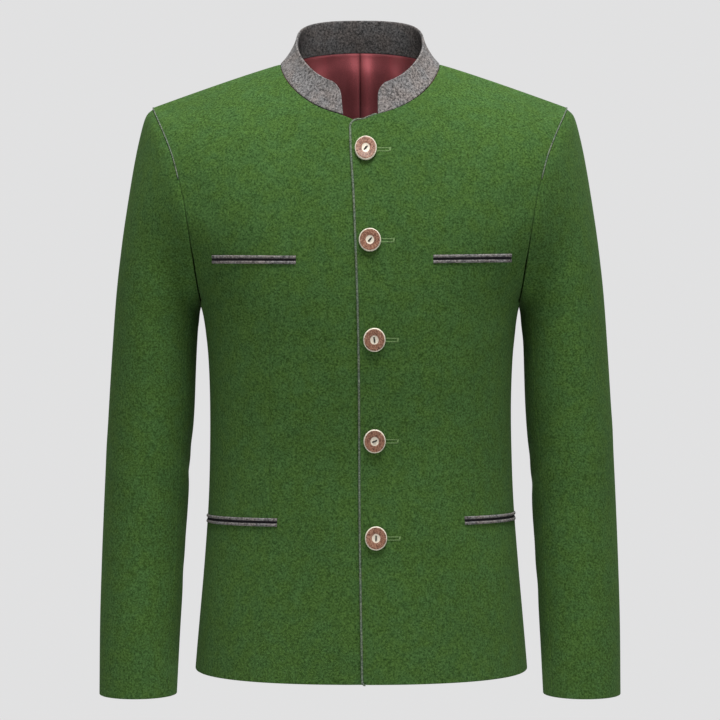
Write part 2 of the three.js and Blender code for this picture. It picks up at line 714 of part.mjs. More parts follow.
// Round piping along the neck corner and edge of the lapping front
function edgePiping() {
  const neck = frontTurns(0, 1).map((turn) => bodyPoint(0, turn));
  const beyond = neck.findIndex(({ x }) => x > PIPING_START_X);
  const part = (PIPING_START_X - neck[beyond - 1].x) / (neck[beyond].x - neck[beyond - 1].x);
  neck[beyond].lerpVectors(neck[beyond - 1], neck[beyond], part);
  const spots = neck.slice(0, beyond + 1).reverse().map(({ x, z }) => ({ x, z, outX: 0, outZ: 1 }));
  const cornerX = frontEdgeX(NECK_Z) + PIPING + SEAM_GAP;
  for (let i = 1; i <= PIPING_STEPS.corner; i += 1) {
    const angle = RIGHT_ANGLE * i / PIPING_STEPS.corner;
    spots.push({
      x: cornerX + NECK_CORNER * (1 - Math.sin(angle)),
      z: NECK_Z - NECK_CORNER * (1 - Math.cos(angle)),
      outX: -Math.sin(angle),
      outZ: Math.cos(angle),
    });
  }
  for (let i = 1; i <= PIPING_STEPS.edge; i += 1) {
    const z = lerp(NECK_Z - NECK_CORNER, FRONT_HEM + HEM_CORNER, i / PIPING_STEPS.edge);
    spots.push({ x: frontEdgeX(z) + PIPING + SEAM_GAP, z, outX: -1, outZ: 0 });
  }
  for (let i = 1; i <= PIPING_STEPS.hem; i += 1) {
    const angle = rad(HEM_CORNER_TURN) * i / PIPING_STEPS.hem;
    spots.push({
      x: frontEdgeX(FRONT_HEM) + PIPING + SEAM_GAP + HEM_CORNER * (1 - Math.cos(angle)),
      z: FRONT_HEM + HEM_CORNER * (1 - Math.sin(angle)),
      outX: -Math.cos(angle),
      outZ: -Math.sin(angle),
    });
  }
  const path = [];
  const tops = [];
  for (const spot of spots) {
    const { level, turn } = frontSpot(spot.x, spot.z);
    const normal = bodyNormal(level, turn);
    const aside = new THREE.Vector3(spot.outX, 0, spot.outZ);
    aside.addScaledVector(normal, -aside.dot(normal)).normalize();
    const point = bodyAt(level, turn, LAP_LIFT - LODEN / 2 + SEAM_GAP / 2);
    path.push(point.addScaledVector(aside, SEAM_GAP + PIPING / 2));
    tops.push(normal);
  }
  return tube(path, tops, PIPING / 2, LODEN / 2, PIPING_SIDES);
}

function armPiping(side) {
  const path = [];
  const tops = [];
  for (let i = -ARM_PIPING_STEPS.back; i <= ARM_PIPING_STEPS.front; i += 1) {
    const behind = ARM_PIPING_FROM * -i / ARM_PIPING_STEPS.back;
    const before = ARM_PIPING_TO * i / ARM_PIPING_STEPS.front;
    const turn = rad(i < 0 ? behind : before);
    const { point, normal } = armholePoint(turn);
    const out = normal.add(sleeveNormal(0, turn)).normalize();
    point.addScaledVector(out, ARM_PIPING_LIFT);
    point.x *= side;
    out.x *= side;
    path.push(point);
    tops.push(out);
  }
  return tube(path, tops, ARM_PIPING, ARM_PIPING, PIPING_SIDES);
}

// A felt lip of a pocket, laid on the front above or below the slot
function pocketLip(pocket, up) {
  const nearTurn = frontSpot(pocket.side * pocket.nearX, pocket.nearZ).turn;
  let farTurn;
  if (pocket.farX === null) {
    const side = evenTurns(pocket.farZ, 0, endTurn(pocket.farZ, false), 2, 0, LOWER_POCKET_STOP);
    farTurn = pocket.side * side[1];
  } else {
    farTurn = frontSpot(pocket.side * pocket.farX, pocket.farZ).turn;
  }
  const turns = evenTurns(pocket.nearZ, nearTurn, farTurn, LIP_COLUMNS, 0, 0);
  const outer = [];
  const inner = [];
  for (const share of LIP_SHARES) {
    const reach = up * lerp(SLOT_HALF, SLOT_HALF + LIP_HEIGHT, share);
    const crown = LIP_CROWN * Math.sin(Math.PI * share);
    const outerRow = [];
    const innerRow = [];
    turns.forEach((lineTurn, c) => {
      const lineZ = lerp(pocket.nearZ, pocket.farZ, c / (LIP_COLUMNS - 1));
      const z = lineZ + reach;
      const lineX = bodyPoint(levelAtTurn(lineTurn, lineZ), lineTurn).x;
      const turn = pocket.farX === null ? lineTurn : frontSpot(lineX, z).turn;
      const level = levelAtTurn(turn, z);
      outerRow.push(bodyAt(level, turn, SEAM_GAP + LIP_THICK + crown));
      innerRow.push(bodyAt(level, turn, SEAM_GAP));
    });
    outer.push(outerRow);
    inner.push(innerRow);
  }
  return wall(outer, inner);
}

function solidOf(geometry) {
  geometry.deleteAttribute('normal');
  geometry.deleteAttribute('uv');
  const merged = mergeVertices(geometry);
  return new wasm.Manifold(new wasm.Mesh({
    numProp: 3,
    vertProperties: new Float32Array(merged.attributes.position.array),
    triVerts: new Uint32Array(merged.index.array),
  }));
}

function geometryOf(solid) {
  const result = solid.getMesh();
  const geometry = new THREE.BufferGeometry();
  geometry.setAttribute('position', new THREE.BufferAttribute(result.vertProperties, 3));
  geometry.setIndex(new THREE.BufferAttribute(result.triVerts, 1));
  geometry.computeVertexNormals();
  return geometry;
}

// A button disc with a dished middle and two sewing holes, its face along +Z
function buttonGeometry() {
  const profile = BUTTON_PROFILE.map(({ r, h }) => new THREE.Vector2(r, h));
  const disc = new THREE.LatheGeometry(profile, BUTTON_SEGMENTS);
  disc.rotateX(RIGHT_ANGLE);
  let solid = solidOf(disc);
  for (const across of [-HOLE_SPACING / 2, HOLE_SPACING / 2]) {
    const drill = new THREE.CylinderGeometry(HOLE_RADIUS, HOLE_RADIUS, 3 * BUTTON_HALF, DRILL_SIDES);
    drill.rotateX(RIGHT_ANGLE);
    drill.translate(across, 0, 0);
    solid = solid.subtract(solidOf(drill));
  }
  return geometryOf(solid);
}

function button(spec) {
  const { level, turn } = frontSpot(spec.x, spec.z);
  const normal = bodyNormal(level, turn);
  const across = new THREE.Vector3(1, 0, 0).addScaledVector(normal, -normal.x).normalize();
  const up = new THREE.Vector3().crossVectors(normal, across);
  const geometry = buttonGeometry();
  geometry.rotateZ(rad(spec.turn));
  geometry.scale(1, spec.tall, 1);
  const piece = mesh(spec.name, geometry, 'horn');
  piece.setRotationFromMatrix(new THREE.Matrix4().makeBasis(across, up, normal));
  piece.position.copy(bodyAt(level, turn, LAP_LIFT + SEAM_GAP + BUTTON_SEAT));
  return piece;
}

const coat = new THREE.Group();
const sides = [{ word: 'left', sign: 1 }, { word: 'right', sign: -1 }];
for (const { word, sign } of sides) {
  coat.add(mesh(`front_${word}`, frontPanel(sign), 'loden'));
  coat.add(mesh(`back_${word}`, backPanel(sign), 'loden'));
  const top = sleevePiece(sign, BACK_SLEEVE_SEAM - 360, FRONT_SLEEVE_SEAM);
  const under = sleevePiece(sign, FRONT_SLEEVE_SEAM, BACK_SLEEVE_SEAM);
  coat.add(mesh(`top_sleeve_${word}`, top, 'loden'));
  coat.add(mesh(`under_sleeve_${word}`, under, 'loden'));
  coat.add(mesh(`lining_${word}`, lining(sign), 'satin'));
  coat.add(mesh(`arm_piping_${word}`, armPiping(sign), 'felt'));
}
coat.add(mesh('collar', collar(), 'felt'));
coat.add(mesh('edge_piping', edgePiping(), 'felt'));
for (const pocket of POCKETS) {
  coat.add(mesh(`${pocket.name}_upper_lip`, pocketLip(pocket, 1), 'felt'));
  coat.add(mesh(`${pocket.name}_lower_lip`, pocketLip(pocket, -1), 'felt'));
}
for (const spec of BUTTONS) coat.add(button(spec));

export default coat;
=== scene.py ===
import math

import bmesh
import bpy
import numpy as np
from mathutils import Matrix


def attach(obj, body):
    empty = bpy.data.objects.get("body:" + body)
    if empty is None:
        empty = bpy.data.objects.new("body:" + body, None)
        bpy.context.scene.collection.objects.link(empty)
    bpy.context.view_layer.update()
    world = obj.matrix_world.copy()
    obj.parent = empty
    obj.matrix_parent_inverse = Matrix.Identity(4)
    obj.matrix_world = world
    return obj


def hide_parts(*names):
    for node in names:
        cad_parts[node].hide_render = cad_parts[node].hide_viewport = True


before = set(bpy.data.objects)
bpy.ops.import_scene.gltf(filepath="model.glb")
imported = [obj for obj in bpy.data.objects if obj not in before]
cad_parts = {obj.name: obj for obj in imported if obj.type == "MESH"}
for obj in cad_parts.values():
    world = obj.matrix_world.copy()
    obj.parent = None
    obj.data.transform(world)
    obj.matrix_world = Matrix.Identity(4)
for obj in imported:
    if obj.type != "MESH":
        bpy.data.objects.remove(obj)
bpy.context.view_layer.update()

# Fronts.
# Two panels of green loden, cut with a waist dart each. The wearer's left front laps over the
# right one, which runs on as a hidden underlap. Lengths are millimetres until a mesh is made.
MM = 0.001
LODEN = 2.0
SEAM_GAP = 0.3
SHOULDER_TIP = -49.0
SHOULDER_CURVE = 0.93
UNDERARM = -270.0
HEM = -680.5
FRONT_HEM = -684.0
NECK_HALF = 90.0
SHOULDER_HALF = 234.0
NECK_Z = -72.0


def table(columns, *rows):
    """Rows of a table by the names of their columns."""
    return [dict(zip(columns.split(), row)) for row in rows]


BODY = table(
    "level front back round drop rise dip",
    (0, 88, 66, 2.0, 67, 21, 5),
    (-25, 94.5, 84, 2.12, 57.5, 17, 2.2),
    (-50, 101, 99, 2.25, 48, 13, 0),
    (-100, 112, 115, 2.4, 31, 7, 0),
    (-150, 120.5, 123, 2.5, 19, 3, 0),
    (-200, 126, 125, 2.55, 10, 1, 0),
    (-270, 128, 121, 2.55, 2.5, 0, 0),
    (-335, 123.5, 111, 2.5, 0, 0, 0),
    (-400, 117, 103, 2.4, 0, 0, 0),
    (-450, 114, 101, 2.35, 0, 0, 0),
    (-520, 115, 106, 2.35, 0, 0, 0),
    (-600, 119.5, 116, 2.4, 0.8, 0, 0),
    (-680.5, 125, 124, 2.4, 3.5, 0, 0),
)
SIDE = table(
    "level half shift",
    (-270, 177.5, 0),
    (-300, 174.3, 0.5),
    (-330, 171.2, 0.6),
    (-384, 169.5, 0.6),
    (-438, 170, 0.9),
    (-492, 171.8, 1.2),
    (-560, 176.6, 1.5),
    (-628, 182.5, 1.5),
    (-680.5, 187.1, 1.5),
)
FRONT_DROP_POWER = 1.25
BACK_RISE_POWER = 1.5
DIP_HALF = 12.0
SOFTEN = [(-36, 1), (-24, 2), (-12, 3), (0, 4), (12, 3), (24, 2), (36, 1)]
SOFTEN_OVER = 0.3
ARMHOLE_DEPTH = 0.76
ARMHOLE_TOP_ROUND = 3.0
ARMHOLE_FOOT_ROUND = 2.0
ARMHOLE_SEAM = table(
    "z x",
    (-49, 234),
    (-70, 223.3),
    (-90, 214),
    (-110, 206),
    (-135, 199),
    (-168, 191.4),
    (-215, 184),
    (-270, 177.5),
)
FRONT_EDGE = table(
    "z x",
    (-60, -12.5),
    (-104, -11.5),
    (-160, -8.1),
    (-312, -3.2),
    (-527, -1.6),
    (-684, 1),
)
NECK_CORNER = 8.0
HEM_CORNER = 4.0
PIPING = 2.4
UNDERLAP_X = 34.0
LAP_LIFT = 1.4
LAP_SINK = 1.2
LAP_FLAT = 48.0
LAP_RUN = 40.0
SINK_FROM = 14.0
SINK_TO = 4.0


def read_table(rows, by, column, at):
    """Smooth value of a column, for rows in rising or falling order."""
    rows = sorted(rows, key=lambda row: row[by])
    places = np.array([row[by] for row in rows], float)
    values = np.array([row[column] for row in rows], float)
    at = np.clip(np.asarray(at, float), places[0], places[-1])
    last = len(rows) - 1
    slopes = [
        (values[min(last, k + 1)] - values[max(0, k - 1)])
        / (places[min(last, k + 1)] - places[max(0, k - 1)])
        for k in range(last + 1)
    ]
    slopes = np.array(slopes)
    i = np.clip(np.searchsorted(places, at, side="right") - 1, 0, last - 1)
    width = places[i + 1] - places[i]
    t = (at - places[i]) / width
    t2, t3 = t * t, t * t * t
    return (
        (2 * t3 - 3 * t2 + 1) * values[i]
        + (t3 - 2 * t2 + t) * width * slopes[i]
        + (3 * t2 - 2 * t3) * values[i + 1]
        + (t3 - t2) * width * slopes[i + 1]
    )


def ease(t):
    """Smooth step from 0 to 1."""
    t = np.clip(t, 0, 1)
    return t * t * (3 - 2 * t)


def armhole_share(level):
    """Share of the ring's depth that the armhole takes at a level."""
    middle = (SHOULDER_TIP + UNDERARM) / 2
    reach = (SHOULDER_TIP - UNDERARM) / 2
    rise = (np.asarray(level, float) - middle) / reach
    power = np.where(rise > 0, ARMHOLE_TOP_ROUND, ARMHOLE_FOOT_ROUND)
    return ARMHOLE_DEPTH * np.maximum(0, 1 - np.abs(rise) ** power) ** (1 / power)


def half_width(level, drop, power):
    """Half the width of the body's ring at a level: shoulder slope, armhole, then waist."""
    along = np.abs(level / SHOULDER_TIP) ** SHOULDER_CURVE
    shoulder = NECK_HALF - (SHOULDER_HALF - NECK_HALF) * along * np.sign(level)
    share = armhole_share(level)
    height = level - drop * share**FRONT_DROP_POWER
    arm = read_table(ARMHOLE_SEAM, "z", "x", height) / (1 - share**power) ** (1 / power)
    waist = read_table(SIDE, "level", "half", level)
    return np.where(level >= SHOULDER_TIP, shoulder, np.where(level <= UNDERARM, waist, arm))


def ring(level):
    """Sizes of the body's rings at some levels."""
    level = np.asarray(level, float)
    shape = {c: read_table(BODY, "level", c, level) for c in BODY[0] if c != "level"}
    shape["shift"] = read_table(SIDE, "level", "shift", level)
    shape["half"] = half_width(level, shape["drop"], shape["round"])
    shape["edge"] = armhole_share(level)
    evened = 0
    for reach, weight in SOFTEN:
        evened = evened + weight * half_width(level + reach, shape["drop"], shape["round"])
    shape["soft"] = evened / sum(weight for _, weight in SOFTEN)
    return shape


def half_at(shape, share):
    softened = ease((share - shape["edge"]) / SOFTEN_OVER)
    return shape["half"] + (shape["soft"] - shape["half"]) * softened


def share_at(shape, turn):
    return np.abs(np.cos(turn)) ** (2 / shape["round"])


def body_x(shape, turn):
    reach = half_at(shape, share_at(shape, turn)) * np.abs(np.sin(turn)) ** (2 / shape["round"])
    return shape["shift"] + reach * np.sign(np.sin(turn))


def front_fall(shape, turn):
    """How far the front of a ring lies below its level."""
    fall = shape["drop"] * share_at(shape, turn) ** FRONT_DROP_POWER
    return fall + shape["dip"] * np.exp(-((body_x(shape, turn) / DIP_HALF) ** 2))


def body_point(level, turn):
    """Point of the body: turn 0 is the centre front, 90 degrees the left side, 180 the back."""
    level, turn = np.broadcast_arrays(np.asarray(level, float), np.asarray(turn, float))
    shape = ring(level)
    share = share_at(shape, turn)
    ahead = np.cos(turn) > 0
    y = np.where(ahead, -shape["front"], shape["back"]) * share
    rise = shape["rise"] * share**BACK_RISE_POWER
    z = level + np.where(ahead, -front_fall(shape, turn), rise)
    return np.stack([body_x(shape, turn), y, z], axis=-1)


def unit(vectors):
    return vectors / np.maximum(np.linalg.norm(vectors, axis=-1, keepdims=True), 1e-9)


def body_normal(level, turn):
    up = body_point(np.minimum(level + 1, 0), turn) - body_point(np.maximum(level - 1, HEM), turn)
    round_ = body_point(level, turn + 0.02) - body_point(level, turn - 0.02)
    return unit(np.cross(round_, up))


def turn_at_x(level, x):
    """Turn of the front point at a given x."""
    shape = ring(level)
    turn = np.zeros(np.broadcast(level, x).shape)
    for _ in range(12):
        half = half_at(shape, share_at(shape, turn))
        part = np.minimum(1, np.abs(x - shape["shift"]) / half)
        turn = np.arcsin(part ** (shape["round"] / 2))
    return np.sign(x - shape["shift"]) * turn


def level_at_turn(turn, z):
    level = np.minimum(0, np.asarray(z, float))
    for _ in range(30):
        level = np.minimum(0, z + front_fall(ring(level), turn))
    return level


def front_spot(x, z):
    """Level and turn of the front point at a given x and height."""
    level = np.minimum(0, np.asarray(z, float))
    for _ in range(12):
        turn = turn_at_x(level, x)
        level = level_at_turn(turn, z)
    return level, turn


def end_turn(level, back=False):
    inside = (level < SHOULDER_TIP) & (level > UNDERARM)
    share = np.where(inside, armhole_share(level), 0)
    turn = np.arccos(share ** (ring(level)["round"] / 2))
    return np.pi - turn if back else turn


NEAR_EDGE = np.array([0, 0.25, 0.6, 1.1, 1.8, 3])
NEAR_REACH = 3.5
MARK_ROOM = 8.0
ROW_STEPS = dict(shoulder=2.5, arm_degrees=3, skirt=5)
LINE_SAMPLES = 120


def body_levels():
    """Rows of a panel from the neck to the hem, closer together at its edges."""
    shoulder = -np.arange(5.5, -SHOULDER_TIP, ROW_STEPS["shoulder"])
    turns = np.radians(np.arange(0, 180.1, ROW_STEPS["arm_degrees"]))
    arm = UNDERARM + (SHOULDER_TIP - UNDERARM) * (1 + np.cos(turns)) / 2
    step = ROW_STEPS["skirt"]
    skirt = np.arange(UNDERARM - step, HEM + step, -step)
    return np.concatenate([-NEAR_EDGE, shoulder, arm, skirt, HEM + NEAR_EDGE[::-1]])


def run_along(points):
    """Length run along a line of points, from its first."""
    return np.concatenate([[0], np.cumsum(np.linalg.norm(np.diff(points, axis=0), axis=1))])


def body_turns(levels, start, end, marks, hold_start, hold_end, columns):
    """Turns along each row, closer together at the ends and at a mark such as a dart."""
    rows = []
    for level, a, b, mark in zip(levels, start, end, marks):
        samples = np.linspace(a, b, LINE_SAMPLES)
        length = run_along(body_point(level, samples))
        stops = [hold_start, length[-1] - hold_end]
        if mark is not None:
            at = mark(length, samples) if callable(mark) else mark * length[-1]
            first, last = stops[0] + MARK_ROOM, stops[1] - MARK_ROOM
            stops.insert(1, float(np.clip(at, first, last)))
        goals = []
        for k in range(len(stops) - 1):
            low, high = stops[k], stops[k + 1]
            reach = min(NEAR_REACH, (high - low) / 3)
            close = NEAR_EDGE * reach / NEAR_REACH
            middle = np.linspace(low + reach, high - reach, columns[k])
            goals += [low + close, middle, high - close[::-1]]
            if k < len(stops) - 2:
                goals[-1] = goals[-1][:-1]
        rows.append(np.interp(np.concatenate(goals), length, samples))
    return np.array(rows)


def border_distance(points):
    """Distances in the cloth from each point of a grid to its first and last row and column."""
    down = np.linalg.norm(np.diff(points, axis=0), axis=2)
    across = np.linalg.norm(np.diff(points, axis=1), axis=2)
    top = np.vstack([np.zeros((1, points.shape[1])), np.cumsum(down, axis=0)])
    left = np.hstack([np.zeros((points.shape[0], 1)), np.cumsum(across, axis=1)])
    return dict(top=top, bottom=top[-1:] - top, left=left, right=left[:, -1:] - left)


GROOVES = dict(seam=(0.55, 1.7), armhole=(1.25, 2.4))
FOLD_REACH = 0.62
FOLD_ROUND = 0.47


def cloth_offsets(points, thick, edges):
    """How far the outer and inner face lie from the cut surface. A fold edge is rounded on both
    faces, and a seam draws the outer face in a little."""
    outer = np.zeros(points.shape[:2])
    inner = np.full(points.shape[:2], -thick)
    distances = border_distance(points)
    for border, style in edges.items():
        d = distances[border]
        if style == "fold":
            near = np.minimum(1, d / (FOLD_REACH * thick))
            lack = FOLD_ROUND * thick * (1 - np.sqrt(np.maximum(0, 1 - (1 - near) ** 2)))
            outer -= lack
            inner += lack
        else:
            sink, reach = GROOVES[style]
            outer -= sink * np.maximum(0, 1 - d / reach) ** 2
    limit = (outer + inner) / 2
    return np.maximum(outer, limit + 0.02 * thick), np.minimum(inner, limit - 0.02 * thick)


def add_object(name, data):
    """Object of a mesh, lamp or camera, linked to the scene."""
    thing = bpy.data.objects.new(name, data)
    bpy.context.scene.collection.objects.link(thing)
    return thing


def mesh_object(name, points, faces, material):
    """Object of a closed mesh in millimetres, its faces turned outward."""
    mesh = bpy.data.meshes.new(name)
    mesh.from_pydata((np.asarray(points) * MM).tolist(), [], faces)
    mesh.update()
    work = bmesh.new()
    work.from_mesh(mesh)
    if work.calc_volume(signed=True) < 0:
        bmesh.ops.reverse_faces(work, faces=work.faces)
    work.to_mesh(mesh)
    work.free()
    mesh.polygons.foreach_set("use_smooth", [True] * len(mesh.polygons))
    mesh.materials.append(material)
    return add_object(name, mesh)


def wall_faces(rows, columns):
    """Faces of a closed wall between an outer grid and an inner grid of points."""
    grid = np.arange(rows * columns).reshape(rows, columns)
    far = grid + rows * columns

    def quads(a, b, c, d):
        return np.stack([a, b, c, d], axis=-1).reshape(-1, 4).tolist()

    faces = quads(grid[:-1, :-1], grid[:-1, 1:], grid[1:, 1:], grid[1:, :-1])
    faces += quads(far[:-1, :-1], far[1:, :-1], far[1:, 1:], far[:-1, 1:])
    faces += quads(grid[0, :-1], far[0, :-1], far[0, 1:], grid[0, 1:])
    faces += quads(grid[-1, :-1], grid[-1, 1:], far[-1, 1:], far[-1, :-1])
    faces += quads(grid[:-1, 0], grid[1:, 0], far[1:, 0], far[:-1, 0])
    faces += quads(grid[:-1, -1], far[:-1, -1], far[1:, -1], grid[1:, -1])
    return faces


def cloth_wall(name, points, normals, thick, edges, lift, material):
    """Closed cloth wall on a grid of cut points, lifted along its normals."""
    outer, inner = cloth_offsets(points, thick, edges)
    front = points + normals * (outer + lift)[..., None]
    back = points + normals * (inner + lift)[..., None]
    both = np.concatenate([front.reshape(-1, 3), back.reshape(-1, 3)])
    return mesh_object(name, both, wall_faces(*points.shape[:2]), material)


CREASE_FADE = 0.35


def crease_lift(points, creases):
    """Soft troughs and ridges at given places: each row gives two ends as x and z, how deep it is
    and how wide."""
    lift = np.zeros(points.shape[:2])
    spots = points[..., [0, 2]]
    for x0, z0, x1, z1, depth, wide in creases:
        a, b = np.array([x0, z0]), np.array([x1, z1])
        run = b - a
        length = np.linalg.norm(run)
        along = ((spots - a) @ run) / length**2
        beside = np.abs((spots - a) @ np.array([-run[1], run[0]]) / length)
        fade = ease(along / CREASE_FADE) * ease((1 - along) / CREASE_FADE)
        lift += depth * np.exp(-((beside / wide) ** 2)) * fade
    return lift


def add_node(tree, kind, inputs, **settings):
    """Node of a kind; each input takes a value, or the output that feeds it."""
    node = tree.nodes.new(kind)
    for name, value in settings.items():
        setattr(node, name, value)
    for name, value in inputs.items():
        if isinstance(value, bpy.types.NodeSocket):
            tree.links.new(value, node.inputs[name])
        else:
            node.inputs[name].default_value = value
    return node


def noise(tree, vector, scale, detail, **more):
    inputs = {"Vector": vector, "Scale": scale, "Detail": detail, **more}
    return add_node(tree, "ShaderNodeTexNoise", inputs).outputs["Fac"]


def mix_colour(tree, factor, a, b, blend="MIX"):
    inputs = {0: factor, 6: a, 7: b}
    return add_node(tree, "ShaderNodeMix", inputs, data_type="RGBA", blend_type=blend).outputs[2]


def new_material(name, surface):
    """Material with plain values on its shader, and its node tree."""
    material = bpy.data.materials.new(name)
    material.use_nodes = True
    for socket, value in surface.items():
        material.node_tree.nodes["Principled BSDF"].inputs[socket].default_value = value
    return material, material.node_tree


def dress_shader(tree, colour, height, strength, distance):
    """Feeds a shader its colour and a fine relief."""
    shader = tree.nodes["Principled BSDF"]
    inputs = {"Strength": strength, "Distance": distance, "Height": height}
    relief = add_node(tree, "ShaderNodeBump", inputs)
    tree.links.new(colour, shader.inputs["Base Color"])
    tree.links.new(relief.outputs["Normal"], shader.inputs["Normal"])


def wool_material(name, colours, sheen, grain, bump):
    """Fulled melange wool: fibres of several shades, a soft fuzz and no shine."""
    material, tree = new_material(name, {
        "Roughness": 1.0,
        "Specular IOR Level": 0.08,
        "Sheen Weight": 0.10,
        "Sheen Roughness": 0.6,
        "Sheen Tint": (*sheen, 1),
    })
    place = add_node(tree, "ShaderNodeTexCoord", {}).outputs["Object"]
    dark, light, warm, cool, fleck = [(*colour, 1) for colour in colours]

    def fibres(scale, detail, rough):
        return noise(tree, place, scale, detail, Roughness=rough)

    def spread(source, low, high, to_low=0.0, to_high=1.0):
        limits = {"From Min": low, "From Max": high, "To Min": to_low, "To Max": to_high}
        return add_node(tree, "ShaderNodeMapRange", {"Value": source, **limits}).outputs["Result"]

    fibre = fibres(grain, 3, 0.7)
    colour = mix_colour(tree, spread(fibre, 0.34, 0.66), dark, light)
    tint = mix_colour(tree, spread(fibres(55, 2, 0.6), 0.38, 0.62), cool, warm)
    fine = spread(fibres(grain * 2.6, 2, 0.6), 0.3, 0.7, 0.78, 1.22)
    cloudy = spread(fibres(9, 2, 0.5), 0.35, 0.65, 0.95, 1.05)
    for shade in (tint, fine, cloudy):
        colour = mix_colour(tree, 1.0, colour, shade, "MULTIPLY")
    flecks = spread(fibres(grain * 0.9, 1, 0.5), 0.70, 0.76, 0, 0.5)
    dress_shader(tree, mix_colour(tree, flecks, colour, fleck), fibre, bump, 0.0006)
    return material


LODEN_COLOURS = dict(
    dark=(0.022, 0.055, 0.0105),
    light=(0.080, 0.170, 0.042),
    warm=(1.03, 1.0, 0.90),
    cool=(0.97, 1.0, 1.11),
    fleck=(0.12, 0.21, 0.075),
)
LODEN_SHEEN = (0.45, 0.75, 0.32)
loden = wool_material("green_loden", LODEN_COLOURS.values(), LODEN_SHEEN, 470, 0.35)

DART_X = {1: 126.0, -1: -98.7}
DART_TOP = -296.0
DART_END = -505.0
DART_SINK = 0.6
DART_HALF = 1.1
DART_FADES = dict(top=40.0, end=4.0)
FRONT_COLUMNS = (26, 18)
# Each crease: x and z of one end, x and z of the other, height over the cloth, half width.
FRONT_CREASES = {
    1: [
        (205, -120, 150, -190, -1.2, 12),
        (188, -215, 150, -262, -1.0, 9),
        (172, -290, 120, -330, 0.8, 14),
        (60, -360, 140, -420, -0.7, 16),
        (150, -455, 95, -480, 0.7, 12),
        (40, -560, 70, -670, 0.8, 18),
        (120, -560, 135, -670, -0.8, 16),
    ],
    -1: [
        (-207, -118, -152, -188, -1.2, 12),
        (-186, -212, -146, -258, -1.1, 10),
        (-170, -286, -118, -322, 0.8, 14),
        (-55, -370, -135, -436, -0.8, 15),
        (-150, -452, -84, -486, 0.8, 12),
        (-46, -566, -60, -674, 0.9, 18),
        (-112, -552, -128, -668, -0.8, 17),
        (-62, -78, -96, -112, -1.6, 12),
    ],
}


def front_edge_x(z):
    return read_table(FRONT_EDGE, "z", "x", z)


def corner_inset(distance, radius):
    inside = np.clip(radius - distance, 0, radius)
    return radius - np.sqrt(radius**2 - inside**2)


def lap_start_x(level):
    """Where the cloth of the lapping front starts at a level, beside its piping."""
    x = np.zeros(np.shape(level))
    for _ in range(4):
        z = body_point(level, turn_at_x(level, x))[..., 2]
        corners = corner_inset(NECK_Z - z, NECK_CORNER) + corner_inset(z - FRONT_HEM, HEM_CORNER)
        x = front_edge_x(z) + PIPING + corners
    return x


def lap_lift(side, x, edge):
    """How far a front is lifted over, or sunk under, the other one."""
    if side > 0:
        return LAP_LIFT * ease(1 - (x - edge - LAP_FLAT) / LAP_RUN)
    return -LAP_SINK * ease((x - edge + SINK_FROM) / (SINK_FROM - SINK_TO))


for word, side in (("left", 1), ("right", -1)):
    levels = body_levels()
    start_x = lap_start_x(levels) if side > 0 else np.full(levels.shape, UNDERLAP_X)
    start = side * turn_at_x(levels, start_x)
    end = end_turn(levels)

    def at_dart(level):
        goal = side * turn_at_x(level, DART_X[side])
        return lambda length, samples: float(np.interp(goal, samples, length))

    samples = np.linspace(start[np.argmax(levels <= UNDERARM)], np.pi / 2, LINE_SAMPLES)
    length = run_along(body_point(UNDERARM, samples))
    share = at_dart(UNDERARM)(length, samples) / length[-1]
    marks = [share if level > UNDERARM else at_dart(level) for level in levels]
    turns = side * body_turns(levels, start, end, marks, 0, 0, FRONT_COLUMNS)
    rows = np.repeat(levels[:, None], turns.shape[1], axis=1)
    points = body_point(rows, turns)
    x, z = points[..., 0], points[..., 2]
    lift = lap_lift(side, x, front_edge_x(z))
    dart = np.exp(-(((x - DART_X[side]) / DART_HALF) ** 2))
    dart *= ease((DART_TOP - z) / DART_FADES["top"]) * ease((z - DART_END) / DART_FADES["end"])
    lift = lift - DART_SINK * dart + crease_lift(points, FRONT_CREASES[side])
    edges = dict(left="fold", right="seam", top="seam", bottom="fold")
    piece = cloth_wall(
        f"front_{word}_cloth", points, body_normal(rows, turns), LODEN, edges, lift, loden
    )
    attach(piece, "root")
    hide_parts(f"front_{word}")

# Backs.
# Two halves of the same loden, shaped to the waist by a plain seam down the middle.
BACK_CREASES = {
    1: [
        (196, -130, 150, -190, -1.3, 12),
        (176, -235, 120, -262, -1.2, 10),
        (160, -300, 90, -340, 0.9, 14),
        (20, -395, 130, -415, -1.2, 12),
        (150, -440, 60, -455, 1.0, 11),
        (60, -560, 84, -672, 0.9, 18),
        (130, -570, 142, -670, -0.8, 15),
    ],
    -1: [
        (-198, -126, -148, -186, -1.3, 12),
        (-178, -238, -116, -268, -1.1, 10),
        (-158, -306, -84, -338, 0.9, 15),
        (-24, -400, -138, -412, -1.1, 12),
        (-152, -446, -66, -462, 1.1, 10),
        (-56, -566, -76, -670, 0.9, 17),
        (-124, -560, -138, -668, -0.8, 15),
    ],
}
BACK_COLUMNS = (40,)


def back_turns(levels, hold_end, columns):
    """Turns of a back piece's rows, from the middle seam to the armhole and the side."""
    start, end = np.full(levels.shape, np.pi), end_turn(levels, True)
    return body_turns(levels, start, end, [None] * len(levels), 0, hold_end, columns)


for word, side in (("left", 1), ("right", -1)):
    levels = body_levels()
    turns = side * back_turns(levels, 0, BACK_COLUMNS)
    rows = np.repeat(levels[:, None], turns.shape[1], axis=1)
    points = body_point(rows, turns)
    edges = dict(left="seam", right="seam", top="seam", bottom="fold")
    lift = crease_lift(points, BACK_CREASES[side])
    piece = cloth_wall(
        f"back_{word}_cloth", points, body_normal(rows, turns), LODEN, edges, lift, loden
    )
    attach(piece, "root")
    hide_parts(f"back_{word}")

